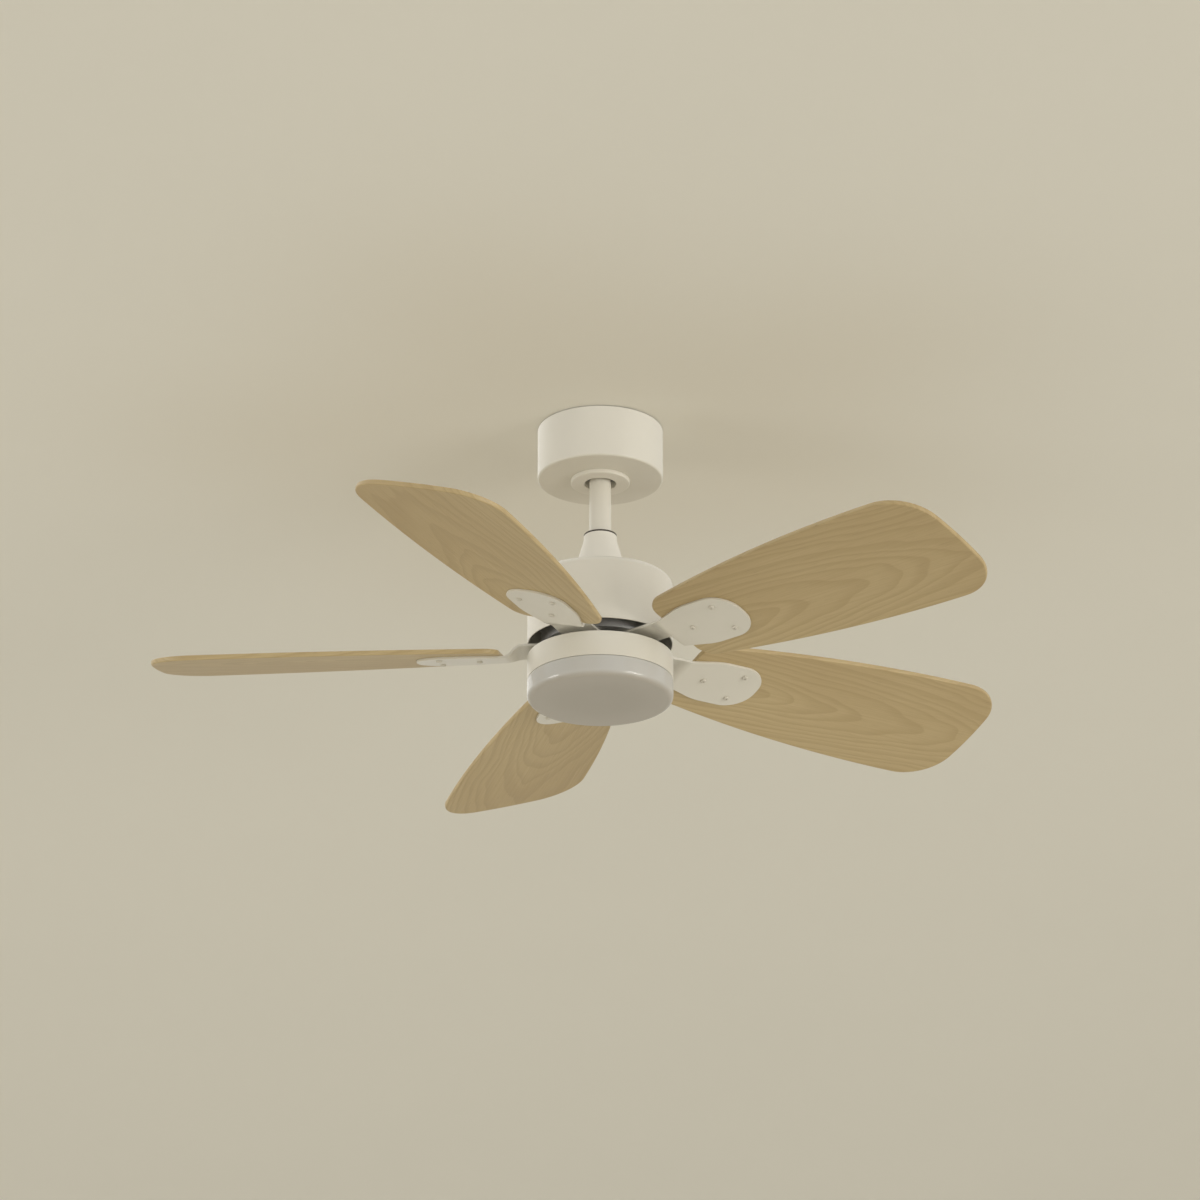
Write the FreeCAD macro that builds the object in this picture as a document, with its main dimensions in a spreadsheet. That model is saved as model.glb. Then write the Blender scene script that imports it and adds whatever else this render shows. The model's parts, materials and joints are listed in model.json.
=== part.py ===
import FreeCAD, Part
import os
import re
import Sketcher
from FreeCAD import Placement, Rotation, Vector

# A ceiling fan with pitched wooden blades and a round light below the motor.
# Lengths are in millimetres and angles in degrees. The ceiling is the plane z = 0, the fan
# hangs down along the axis x = y = 0, and blade angles count from +X towards +Y.

# Driving dimensions, one cell of the sheet each.
SIZES = {
    # Clearances, and how far a cut runs past the face it opens.
    "fit_gap": 0.1,
    "seat_gap": 0.3,
    "race_gap": 0.06,
    "air_gap": 0.7,
    "overrun": 5.0,
    # Canopy, a thin cup against the ceiling, and the snap ring below it.
    "rim_gap": 1.0,
    "canopy_dia": 151.0,
    "canopy_height": 64.5,
    "canopy_wall": 1.2,
    "canopy_edge": 2.5,
    "rod_swing_gap": 6.0,
    "sleeve_wall": 2.9,
    "canopy_screw_inset": 5.0,
    "ring_margin": 5.0,
    "ring_space": 0.6,
    "ring_wall": 2.0,
    "ring_sleeve": 4.5,
    "ring_lip": 0.8,
    "ring_edge": 1.2,
    # Hanger bracket: slotted plate, two arms, a cradle for the ball and two feet.
    "plate_thick": 2.0,
    "plate_margin": 2.0,
    "plate_edge": 7.0,
    "plate_trim_gap": 3.0,
    "plate_corner": 6.0,
    "slot_spacing": 88.0,
    "slot_width": 6.5,
    "slot_length": 14.0,
    "cable_hole_dia": 20.0,
    "arm_gap": 4.7,
    "arm_margin": 2.0,
    "cradle_drop": 11.5,
    "cradle_thick": 3.0,
    "key_width": 4.0,
    "key_depth": 4.0,
    "foot_width": 16.0,
    "foot_thick": 2.5,
    "case_gap": 7.0,
    "case_clear": 3.0,
    "receiver_length": 64.0,
    "receiver_height": 38.0,
    "receiver_edge": 3.0,
    "terminal_length": 32.0,
    "terminal_width": 16.0,
    "terminal_height": 14.0,
    "terminal_poles": 3,
    "terminal_hole_dia": 4.5,
    # Hanger ball, its cross pin and the rod.
    "ball_dia": 52.0,
    "ball_drop": 33.0,
    "ball_top": 19.0,
    "ball_bottom": 17.0,
    "pin_dia": 6.0,
    "pin_lift": 13.0,
    "pin_length": 40.0,
    "rod_dia": 26.0,
    "rod_wall": 2.0,
    "rod_above": 22.0,
    "rod_length": 163.5,
    # Yoke on the motor shaft, with its pin, and the cover round it.
    "socket_depth": 26.0,
    "yoke_height": 50.0,
    "yoke_wall": 4.5,
    "yoke_flange": 4.0,
    "yoke_flange_margin": 6.0,
    "clevis_lift": 11.0,
    "clevis_head": 2.0,
    "cotter_dia": 1.6,
    "cotter_inset": 1.8,
    "cotter_leg": 10.0,
    "cotter_eye_dia": 4.0,
    "set_screw_drop": 6.0,
    "set_screw_dia": 5.0,
    "set_screw_proud": 1.5,
    "cover_space": 9.0,
    "cover_gap": 0.65,
    "cover_foot_margin": 8.0,
    "cover_foot_band": 4.0,
    "cover_neck": 6.0,
    "cover_wall": 1.5,
    "seal_height": 2.0,
    "seal_gap": 0.6,
    # Fixed shaft and the still core of the motor.
    "shaft_dia": 17.0,
    "shaft_bore_dia": 8.0,
    "shaft_grip": 20.0,
    "shaft_end_dia": 12.0,
    "shaft_tail": 4.0,
    "core_height": 20.0,
    "hub_share": 0.565,
    "tooth_count": 12,
    "tooth_share": 0.16,
    "tooth_shoe": 6.0,
    "slot_mouth": 3.2,
    "coil_share": 0.05,
    "coil_end": 5.0,
    # Bearings between shaft and rotor.
    "bearing_dia": 35.0,
    "bearing_width": 10.0,
    "bearing_ball_dia": 5.0,
    "bearing_ball_count": 7,
    "bearing_ring_gap": 3.0,
    "bearing_lip": 3.0,
    "bearing_lip_dia": 25.0,
    # Rotor: two shells round the core, with a bolted flange and magnets.
    "rotor_gap": 5.0,
    "rotor_height": 74.5,
    "skirt_gap": 7.25,
    "rotor_wall": 4.0,
    "rotor_disc": 5.0,
    "rotor_shoulder": 4.0,
    "rotor_boss_wall": 5.0,
    "rotor_flange_rim": 1.0,
    "rotor_flange_thick": 3.0,
    "rotor_screw_count": 5,
    "magnet_count": 14,
    "magnet_thick": 4.0,
    "magnet_over": 3.0,
    "magnet_space": 2.0,
    # Motor drum and light drum share one diameter.
    "drum_dia": 173.5,
    "drum_wall": 1.5,
    "drum_edge": 8.0,
    "skirt_lift": 4.0,
    "housing_screw_gap": 8.4,
    "housing_screw_count": 4,
    "vent_count": 12,
    "vent_inset": 10.0,
    "vent_margin": 8.75,
    "vent_width": 5.0,
    "slot_height": 12.0,
    "band_height": 31.0,
    "diffuser_height": 24.8,
    "diffuser_wall": 2.0,
    "diffuser_edge": 7.0,
    "diffuser_neck": 8.0,
    "seam_edge": 0.6,
    "light_plate_thick": 2.5,
    "light_plate_dia": 80.0,
    "light_screw_gap": 2.0,
    "light_screw_count": 3,
    "nut_height": 6.0,
    "nut_across": 19.0,
    "post_dia": 8.0,
    "post_length": 22.5,
    "post_inset": 16.0,
    "post_count": 4,
    "board_gap": 7.15,
    "board_thick": 1.6,
    "chip_side": 3.0,
    "chip_thick": 0.8,
    "chip_inner_share": 0.26,
    "chip_inner_count": 8,
    "chip_middle_share": 0.58,
    "chip_middle_count": 16,
    "chip_outer_share": 0.895,
    "chip_outer_count": 24,
    "driver_length": 64.0,
    "driver_gap": 4.0,
    "driver_height": 15.0,
    "driver_clear": 2.0,
    "driver_edge": 2.0,
    # Blades and the irons that carry them.
    "sweep_dia": 1067.0,
    "blade_count": 5,
    "first_blade_angle": 31.0,
    "blade_pitch": 16.0,
    "blade_thick": 6.0,
    "blade_root_gap": 3.0,
    "blade_root_width": 112.0,
    "blade_tip_width": 184.0,
    "blade_bow": 13.0,
    "blade_root_round": 24.0,
    "blade_tip_round": 56.0,
    "blade_edge": 1.8,
    "iron_thick": 3.0,
    "iron_foot_inset": 24.0,
    "iron_foot_width": 44.0,
    "iron_clear": 5.25,
    "iron_twist": 22.0,
    "iron_drop": 9.0,
    "tongue_root_width": 54.0,
    "tongue_width": 76.0,
    "tongue_flare": 36.0,
    "tongue_reach": 69.0,
    "tongue_round_share": 0.45,
    "tongue_shoulder_round": 40.0,
    "iron_screw_inset": 13.0,
    "iron_screw_spacing": 24.0,
    "blade_screw_start": 30.0,
    "blade_screw_step": 46.0,
    "blade_screw_spacing": 44.0,
    "blade_screw_depth": 4.5,
    # Machine screws.
    "screw_dia": 4.0,
    "screw_head_dia": 7.0,
    "screw_head": 2.4,
    "small_screw_dia": 3.0,
    "small_head_dia": 5.5,
    "small_head": 1.8,
    "small_bite": 6.0,
}

# Lengths that follow from the driving dimensions. Heights end in _z.
DERIVED = {
    "canopy_r": "canopy_dia / 2",
    "canopy_in_r": "canopy_r - canopy_wall",
    "ring_hole_r": "rod_r + rod_swing_gap",
    "sleeve_r": "ring_hole_r + sleeve_wall",
    "canopy_hole_r": "sleeve_r + fit_gap",
    "canopy_screw_r": "canopy_hole_r + canopy_screw_inset",
    "floor_z": "-(rim_gap + canopy_height)",
    "floor_in_z": "floor_z + canopy_wall",
    "ring_r": "canopy_screw_r + screw_head_dia / 2 + ring_margin",
    "ring_floor_z": "floor_z - screw_head - ring_space",
    "ring_bottom_z": "ring_floor_z - ring_wall",
    "ball_r": "ball_dia / 2",
    "ball_z": "-ball_drop",
    "seat_r": "ball_r + seat_gap",
    "groove_r": "ball_r - key_depth",
    "key_y": "sqrt((groove_r + seat_gap) ^ 2 - cradle_drop ^ 2)",
    "cradle_z": "ball_z - cradle_drop",
    "plate_half": "slot_spacing / 2 + slot_length / 2 + plate_edge",
    "arm_width": "ball_dia + 2 * arm_margin",
    "plate_width": "arm_width + plate_margin",
    "arm_in_x": "seat_r + arm_gap",
    "arm_out_x": "arm_in_x + plate_thick",
    "foot_x": "sleeve_r + ring_lip + seat_gap",
    "tab_y": "sqrt((canopy_in_r - case_gap) ^ 2 - (receiver_length / 2) ^ 2)",
    "receiver_in_y": "arm_width / 2 + case_clear",
    "rod_r": "rod_dia / 2",
    "rod_top_z": "ball_z + rod_above",
    "rod_end_z": "rod_top_z - rod_length",
    "pin_z": "ball_z + pin_lift",
    "pin_hole_r": "pin_dia / 2 + fit_gap",
    "yoke_top_z": "rod_end_z + socket_depth",
    "yoke_r": "rod_r + fit_gap + yoke_wall",
    "clevis_z": "rod_end_z + clevis_lift",
    "cotter_x": "yoke_r + cotter_dia / 2 + seat_gap",
    "clevis_end_x": "cotter_x + cotter_inset",
    "set_screw_z": "yoke_top_z - set_screw_drop",
    "housing_top_z": "yoke_top_z - yoke_height",
    "housing_in_z": "housing_top_z - drum_wall",
    "flange_z": "housing_in_z - yoke_flange",
    "housing_screw_r": "yoke_r + housing_screw_gap",
    "yoke_flange_r": "housing_screw_r + yoke_flange_margin",
    "cover_top_z": "yoke_top_z + cover_space",
    "cover_top_r": "yoke_r + cover_gap + cover_wall",
    "cover_foot_r": "housing_screw_r + cover_foot_margin",
    "shaft_r": "shaft_dia / 2",
    "shaft_end_r": "shaft_end_dia / 2",
    "shaft_top_z": "flange_z + shaft_grip",
    "rotor_top_z": "flange_z - rotor_gap",
    "rotor_bottom_z": "rotor_top_z - rotor_height",
    "split_z": "(rotor_top_z + rotor_bottom_z) / 2",
    "drum_r": "drum_dia / 2",
    "drum_in_r": "drum_r - drum_wall",
    "rotor_flange": "screw_head_dia + rotor_flange_rim",
    "rotor_flange_r": "drum_in_r - skirt_gap",
    "rotor_r": "rotor_flange_r - rotor_flange",
    "rotor_in_r": "rotor_r - rotor_wall",
    "rotor_screw_r": "rotor_r + rotor_flange / 2",
    "boss_r": "bearing_dia / 2 + rotor_boss_wall",
    "bearing_seat_r": "bearing_dia / 2 + fit_gap",
    "bearing_lip_r": "bearing_lip_dia / 2",
    "shoulder_z": "rotor_top_z - rotor_shoulder",
    "upper_bearing_z": "rotor_top_z - bearing_lip - bearing_width / 2",
    "lower_bearing_z": "rotor_bottom_z + bearing_lip + bearing_width / 2",
    "race_r": "(shaft_dia + bearing_dia) / 4",
    "magnet_r": "rotor_in_r - fit_gap",
    "magnet_in_r": "magnet_r - magnet_thick",
    "core_r": "magnet_in_r - air_gap",
    "core_hub_r": "core_r * hub_share",
    "tooth_width": "core_r * tooth_share",
    "coil_thick": "core_r * coil_share",
    "shoe_r": "core_r - tooth_shoe",
    "half_tooth": "180 / tooth_count",
    "tooth_side": "tooth_width / 2 / cos(half_tooth)",
    "housing_bottom_z": "rotor_bottom_z + skirt_lift",
    "vent_in_r": "cover_foot_r + vent_inset",
    "vent_out_r": "drum_r - drum_edge - vent_margin",
    "light_top_z": "rotor_bottom_z - slot_height",
    "light_in_z": "light_top_z - drum_wall",
    "light_plate_z": "light_top_z + light_plate_thick",
    "seam_z": "light_top_z - band_height",
    "light_bottom_z": "seam_z - diffuser_height",
    "neck_r": "drum_in_r - fit_gap",
    "shaft_end_z": "light_in_z - nut_height - shaft_tail",
    "board_z": "light_in_z - post_length",
    "board_r": "neck_r - diffuser_wall - board_gap",
    "post_r": "board_r - post_inset",
    "chip_z": "board_z - board_thick",
    "nut_corner": "nut_across / sqrt(3)",
    "light_screw_r": "nut_corner + light_screw_gap + screw_head_dia / 2",
    "driver_in_y": "light_screw_r + screw_head_dia / 2 + driver_clear",
    "driver_out_y": "post_r - post_dia / 2 - driver_gap",
    "iron_z": "rotor_bottom_z - iron_thick / 2",
    "tongue_z": "iron_z - iron_drop",
    "iron_foot_r": "rotor_r - iron_foot_inset",
    "iron_screw_r": "rotor_r - iron_screw_inset",
    "iron_twist_in": "drum_r + iron_clear",
    "iron_twist_out": "iron_twist_in + iron_twist",
    "tongue_shoulder": "iron_twist_out + tongue_flare",
    "tongue_end": "tongue_shoulder + tongue_reach",
    "tongue_round": "tongue_width * tongue_round_share",
    "blade_screw_in": "iron_twist_out + blade_screw_start",
    "blade_screw_out": "blade_screw_in + blade_screw_step",
    "blade_root_r": "iron_twist_out + blade_root_gap",
    "blade_lift": "iron_thick / 2",
    "sweep_r": "sweep_dia / 2",
    "clear_r": "screw_dia / 2 + fit_gap",
    "small_clear_r": "small_screw_dia / 2 + fit_gap",
}

doc = FreeCAD.newDocument("ceiling_fan")
sheet = doc.addObject("Spreadsheet::Sheet", "Sizes")
for row, (alias, value) in enumerate(SIZES.items(), start=1):
    sheet.set(f"A{row}", alias)
    sheet.set(f"B{row}", str(value))
    sheet.setAlias(f"B{row}", alias)
doc.recompute()

nodes = []


def cells(text):
    """Spells a formula out in cells of the sheet: a derived name gives way to its own formula."""
    def spell(match):
        word = match.group(0)
        if word in SIZES:
            return "Sizes." + word
        if word in DERIVED:
            return "(" + cells(DERIVED[word]) + ")"
        return word
    return re.sub(r"[A-Za-z_]\w*", spell, text)


def number(text):
    """The present value of a formula."""
    return float(sheet.evalExpression(cells(text)))


def start_body(label):
    """Opens the body of one sub-part."""
    body = doc.addObject("PartDesign::Body", label)
    body.Label = label
    nodes.append(body)
    return body


def origin(body, role):
    """A plane or axis of a body's own origin."""
    return next(item for item in body.Origin.OriginFeatures if item.Role == role)


def bind_offset(item, base, axis, angle):
    """Shifts an attached item along, and turns it about, the axes of the plane it lies on."""
    item.AttachmentOffset = Placement(Vector(), Rotation(Vector(*axis), 1))
    for key, text in zip("xyz", base):
        item.setExpression(f"AttachmentOffset.Base.{key}", cells(text))
    item.setExpression("AttachmentOffset.Rotation.Angle", cells(angle))


def sketch_on(body, name, plane, base, axis, angle):
    """Opens a sketch on one of a body's own planes."""
    sketch = body.newObject("Sketcher::SketchObject", name)
    sketch.AttachmentSupport = (origin(body, plane), [""])
    sketch.MapMode = "FlatFace"
    bind_offset(sketch, base, axis, angle)
    return sketch


def pin_point(sketch, geometry, point, place):
    """Holds a point of a sketch at a place given by two formulas."""
    for kind, axis_line, text in zip(("DistanceX", "DistanceY"), (-2, -1), place):
        if text == "0":
            sketch.addConstraint(Sketcher.Constraint("PointOnObject", geometry, point, axis_line))
            continue
        held = Sketcher.Constraint(kind, -1, 1, geometry, point, number(text))
        index = sketch.addConstraint(held)
        sketch.setExpression(f"Constraints[{index}]", cells(text))


def outline(body, name, plane, *loops, base=("0", "0", "0"), axis=(0, 0, 1), angle="0"):
    """A sketch of closed outlines with straight sides, each given by its corners."""
    sketch = sketch_on(body, name, plane, base, axis, angle)
    for loop in loops:
        first = sketch.GeometryCount
        spots = [Vector(number(x), number(y), 0) for x, y in loop]
        for here, there in zip(spots, spots[1:] + spots[:1]):
            sketch.addGeometry(Part.LineSegment(here, there))
        for step, place in enumerate(loop):
            line = first + step
            following = first + (step + 1) % len(loop)
            sketch.addConstraint(Sketcher.Constraint("Coincident", line, 2, following, 1))
            pin_point(sketch, line, 1, place)
    return sketch


def rounds(body, name, plane, *discs, base=("0", "0", "0"), axis=(0, 0, 1), angle="0"):
    """A sketch of circles, each given by its centre and radius."""
    sketch = sketch_on(body, name, plane, base, axis, angle)
    for x, y, radius in discs:
        centre = Vector(number(x), number(y), 0)
        circle = sketch.addGeometry(Part.Circle(centre, Vector(0, 0, 1), number(radius)))
        pin_point(sketch, circle, 3, (x, y))
        index = sketch.addConstraint(Sketcher.Constraint("Radius", circle, number(radius)))
        sketch.setExpression(f"Constraints[{index}]", cells(radius))
    return sketch


def bowed_side(sketch, first, last, bow):
    """An arc in a sketch from a first to a last place, bowed by a length to the right of that way."""
    start, end = (Vector(number(x), number(y), 0) for x, y in (first, last))
    way = (end - start).normalize()
    crown = (start + end) / 2 + Vector(way.y, -way.x, 0) * number(bow)
    side = sketch.addGeometry(Part.Arc(start, crown, end))
    pin_point(sketch, side, 1, first)
    pin_point(sketch, side, 2, last)
    chord_squared = " + ".join(f"(({b}) - ({a})) ^ 2" for a, b in zip(first, last))
    radius = f"({chord_squared}) / (8 * {bow}) + {bow} / 2"
    index = sketch.addConstraint(Sketcher.Constraint("Radius", side, number(radius)))
    sketch.setExpression(f"Constraints[{index}]", cells(radius))
    return side


def box_loop(x_low, x_high, y_low, y_high):
    """The four corners of an upright rectangle."""
    return [(x_low, y_low), (x_high, y_low), (x_high, y_high), (x_low, y_high)]


def extrude(body, name, sketch, length, side="One side", back=False, cut=False):
    """Pads a sketch, or cuts with it."""
    kind = "PartDesign::Pocket" if cut else "PartDesign::Pad"
    feature = body.newObject(kind, name)
    feature.Profile = sketch
    feature.SideType = side
    feature.Reversed = back
    feature.setExpression("Length", cells(length))
    doc.recompute()
    return feature


def cut_across(body, name, sketch, length):
    """Cuts with a sketch to both sides of its plane, over the given length in all."""
    return extrude(body, name, sketch, length, side="Symmetric", cut=True)


def turn(body, name, sketch, axis_name="V_Axis", cut=False):
    """Turns a sketch once round one of its own axes, as material or as a groove."""
    kind = "PartDesign::Groove" if cut else "PartDesign::Revolution"
    feature = body.newObject(kind, name)
    feature.Profile = sketch
    feature.ReferenceAxis = (sketch, [axis_name])
    doc.recompute()
    return feature


def turned(body, name, *loops):
    """A turned piece, from its half sections of radius and height."""
    return turn(body, name, outline(body, name + "_section", "XZ_Plane", *loops))


def ring_pattern(body, name, originals, count):
    """Repeats features evenly round the fan's axis."""
    pattern = body.newObject("PartDesign::PolarPattern", name)
    pattern.Originals = originals
    pattern.Axis = (origin(body, "Z_Axis"), [""])
    pattern.setExpression("Occurrences", cells(count))
    body.Tip = pattern
    doc.recompute()
    return pattern


def soften(body, name, radius, wanted):
    """Rounds the edges of a body's present shape that answer a test."""
    base = body.Tip
    edges = base.Shape.Edges
    names = [f"Edge{index}" for index, edge in enumerate(edges, start=1) if wanted(edge)]
    fillet = body.newObject("PartDesign::Fillet", name)
    fillet.Base = (base, names)
    fillet.setExpression("Radius", cells(radius))
    doc.recompute()
    return fillet


def near(one, other):
    """Whether two lengths agree within the smallest clearance."""
    return abs(one - other) < number("race_gap") / 2


def on_circle(radius, height):
    """A test for the level circular edge of a radius at a height."""
    def wanted(edge):
        return (isinstance(edge.Curve, Part.Circle)
                and near(edge.Curve.Radius, number(radius))
                and near(edge.Curve.Center.z, number(height)))
    return wanted


def along(direction, test=None):
    """A test for straight edges along a direction, at a middle that answers a second test."""
    def wanted(edge):
        if not isinstance(edge.Curve, Part.Line):
            return False
        parallel = near(abs(edge.Curve.Direction.dot(direction)), 1)
        return parallel and (test is None or test(edge.CenterOfMass))
    return wanted


def spin_body(body, angle):
    """Turns a whole body about the fan's axis."""
    body.Placement = Placement(Vector(), Rotation(Vector(0, 0, 1), 1))
    body.setExpression("Placement.Rotation.Angle", cells(angle))


def screw(body, name, place, head_r, head, shank_r, length, upward=True, tilt="0"):
    """A pan-head screw seated at a place, its shank going up or down along the tilted vertical."""
    x, y, z = place
    sign = "" if upward else "-"
    other = "-" if upward else ""
    section = outline(
        body, name + "_section", "XZ_Plane",
        [("0", f"{other}({head})"), (head_r, f"{other}({head})"), (head_r, "0"), (shank_r, "0"),
         (shank_r, f"{sign}({length})"), ("0", f"{sign}({length})")],
        base=(x, z, f"-({y})"), axis=(1, 0, 0), angle=tilt)
    return turn(body, name, section)


def pitched(along_chord, above):
    """The y and z of a point on the blade's slant, by its place across the chord and above it."""
    y = f"({along_chord}) * cos(blade_pitch) + ({above}) * sin(blade_pitch)"
    z = f"tongue_z - ({along_chord}) * sin(blade_pitch) + ({above}) * cos(blade_pitch)"
    return y, z


def slant_plane(above):
    """Where a sketch lies to be level with the blade's slant, a distance above the tongue's middle."""
    y, z = pitched("0", above)
    return {"base": ("0", y, z), "axis": (1, 0, 0), "angle": "-blade_pitch"}


# Hanger bracket: the plate on the ceiling with its slots and two tabs.
bracket = start_body("hanger_bracket")
plate = outline(bracket, "plate_outline", "XY_Plane",
                box_loop("-plate_half", "plate_half", "-plate_width / 2", "plate_width / 2"))
extrude(bracket, "plate", plate, "plate_thick", back=True)
soften(bracket, "plate_corners", "plate_corner", along(Vector(0, 0, 1)))
tabs = outline(bracket, "tab_outline", "XY_Plane",
               box_loop("-receiver_length / 2", "receiver_length / 2", "0", "tab_y"),
               box_loop("-terminal_length / 2", "terminal_length / 2", "-tab_y", "-plate_width / 4"))
extrude(bracket, "tabs", tabs, "plate_thick", back=True)
plate_rim = rounds(bracket, "plate_rim_outline", "XY_Plane", ("0", "0", "canopy_in_r - plate_trim_gap"),
                   ("0", "0", "2 * canopy_r"))
cut_across(bracket, "plate_trim", plate_rim, "2 * plate_thick + overrun")
slot_end = "slot_length / 2 - slot_width / 2"
slot_middles = outline(
    bracket, "slot_middle_outline", "XY_Plane",
    *[box_loop(f"{side} * slot_spacing / 2 - ({slot_end})", f"{side} * slot_spacing / 2 + {slot_end}",
               "-slot_width / 2", "slot_width / 2") for side in ("-1", "1")])
cut_across(bracket, "slot_middles", slot_middles, "2 * plate_thick + overrun")
slot_ends = rounds(
    bracket, "slot_end_outline", "XY_Plane",
    *[(f"{side} * slot_spacing / 2 {end} ({slot_end})", "0", "slot_width / 2")
      for side in ("-1", "1") for end in "-+"])
cut_across(bracket, "slot_ends", slot_ends, "2 * plate_thick + overrun")
# Two arms reach down to the canopy floor and hold the cradle between them.
arms = outline(bracket, "arm_outline", "XY_Plane",
               box_loop("arm_in_x", "arm_out_x", "-arm_width / 2", "arm_width / 2"),
               box_loop("-arm_out_x", "-arm_in_x", "-arm_width / 2", "arm_width / 2"))
extrude(bracket, "arms", arms, "-floor_in_z", back=True)
cradle = outline(bracket, "cradle_outline", "XY_Plane",
                 box_loop("-arm_in_x", "arm_in_x", "-arm_width / 2", "arm_width / 2"),
                 base=("0", "0", "cradle_z"))
extrude(bracket, "cradle", cradle, "cradle_thick", back=True)
feet = outline(bracket, "foot_outline", "XY_Plane",
               box_loop("foot_x", "arm_in_x", "-foot_width / 2", "foot_width / 2"),
               box_loop("-arm_in_x", "-foot_x", "-foot_width / 2", "foot_width / 2"),
               base=("0", "0", "floor_in_z"))
extrude(bracket, "feet", feet, "foot_thick")
seat = bracket.newObject("PartDesign::SubtractiveSphere", "ball_seat")
seat.AttachmentSupport = (origin(bracket, "XY_Plane"), [""])
seat.MapMode = "FlatFace"
bind_offset(seat, ("0", "0", "ball_z"), (0, 0, 1), "0")
seat.setExpression("Radius", cells("seat_r"))
doc.recompute()
# The cradle opens to -Y so that the rod slides in, and a key on +Y stops the ball from turning.
mouth = outline(bracket, "mouth_outline", "XY_Plane",
                box_loop("-rod_r - 2 * seat_gap", "rod_r + 2 * seat_gap", "-arm_width / 2 - overrun", "0"),
                base=("0", "0", "cradle_z"))
cut_across(bracket, "mouth", mouth, "2 * cradle_thick + overrun")
key = outline(bracket, "key_outline", "XY_Plane",
              box_loop("-key_width / 2", "key_width / 2", "key_y", "arm_width / 2"),
              base=("0", "0", "cradle_z"))
extrude(bracket, "key", key, "cradle_thick", back=True)
cable_hole = rounds(bracket, "cable_hole_outline", "XY_Plane", ("0", "0", "cable_hole_dia / 2"))
cut_across(bracket, "cable_hole", cable_hole, "2 * plate_thick + overrun")
foot_holes = rounds(bracket, "foot_hole_outline", "XY_Plane",
                    ("canopy_screw_r", "0", "clear_r"), ("-canopy_screw_r", "0", "clear_r"),
                    base=("0", "0", "floor_in_z"))
cut_across(bracket, "foot_holes", foot_holes, "2 * foot_thick + overrun")

# Control receiver and supply terminals under the plate's tabs.
receiver = start_body("receiver_case")
receiver_top = outline(
    receiver, "receiver_outline", "XY_Plane",
    box_loop("-receiver_length / 2", "receiver_length / 2", "receiver_in_y", "tab_y"),
    base=("0", "0", "-plate_thick"))
extrude(receiver, "case", receiver_top, "receiver_height", back=True)
soften(receiver, "case_edges", "receiver_edge", along(Vector(0, 0, 1)))

terminals = start_body("terminal_block")
terminal_top = outline(
    terminals, "terminal_outline", "XY_Plane",
    box_loop("-terminal_length / 2", "terminal_length / 2", "-tab_y", "terminal_width - tab_y"),
    base=("0", "0", "-plate_thick"))
extrude(terminals, "block", terminal_top, "terminal_height", back=True)
pole_pitch = "terminal_length / (terminal_poles + 1)"
wire_ways = rounds(
    terminals, "wire_way_outline", "XZ_Plane",
    *[(f"{place} * {pole_pitch} - terminal_length / 2", "-plate_thick - terminal_height / 2",
       "terminal_hole_dia / 2") for place in range(1, SIZES["terminal_poles"] + 1)])
cut_across(terminals, "wire_ways", wire_ways, "2 * tab_y + overrun")

# Canopy, its two screws into the bracket's feet, and the snap ring that hides them.
canopy = start_body("canopy")
turned(canopy, "shell", [
    ("canopy_hole_r", "floor_z"), ("canopy_r", "floor_z"), ("canopy_r", "-rim_gap"),
    ("canopy_in_r", "-rim_gap"), ("canopy_in_r", "floor_in_z"),
    ("canopy_hole_r", "floor_in_z")])
soften(canopy, "outer_edge", "canopy_edge", on_circle("canopy_r", "floor_z"))
soften(canopy, "inner_edge", "canopy_edge - canopy_wall", on_circle("canopy_in_r", "floor_in_z"))
canopy_holes = rounds(canopy, "screw_hole_outline", "XY_Plane",
                      ("canopy_screw_r", "0", "clear_r"), ("-canopy_screw_r", "0", "clear_r"),
                      base=("0", "0", "floor_z"))
cut_across(canopy, "screw_holes", canopy_holes, "2 * canopy_wall + overrun")

canopy_screws = start_body("canopy_screws")
for side, sign in (("right", ""), ("left", "-")):
    screw(canopy_screws, side + "_screw", (f"{sign}canopy_screw_r", "0", "floor_z"),
          "screw_head_dia / 2", "screw_head", "screw_dia / 2", "canopy_wall + foot_thick")

ring = start_body("canopy_ring")
turned(ring, "shell", [
    ("ring_hole_r", "ring_bottom_z"), ("ring_r", "ring_bottom_z"), ("ring_r", "floor_z"),
    ("ring_r - ring_wall", "floor_z"), ("ring_r - ring_wall", "ring_floor_z"),
    ("sleeve_r", "ring_floor_z"), ("sleeve_r", "floor_in_z + fit_gap"),
    ("sleeve_r + ring_lip", "floor_in_z + fit_gap"), ("sleeve_r", "floor_z + ring_sleeve"),
    ("ring_hole_r", "floor_z + ring_sleeve")])
soften(ring, "outer_edge", "ring_edge", on_circle("ring_r", "ring_bottom_z"))
soften(ring, "hole_edge", "ring_edge / 2", on_circle("ring_hole_r", "ring_bottom_z"))

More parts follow.
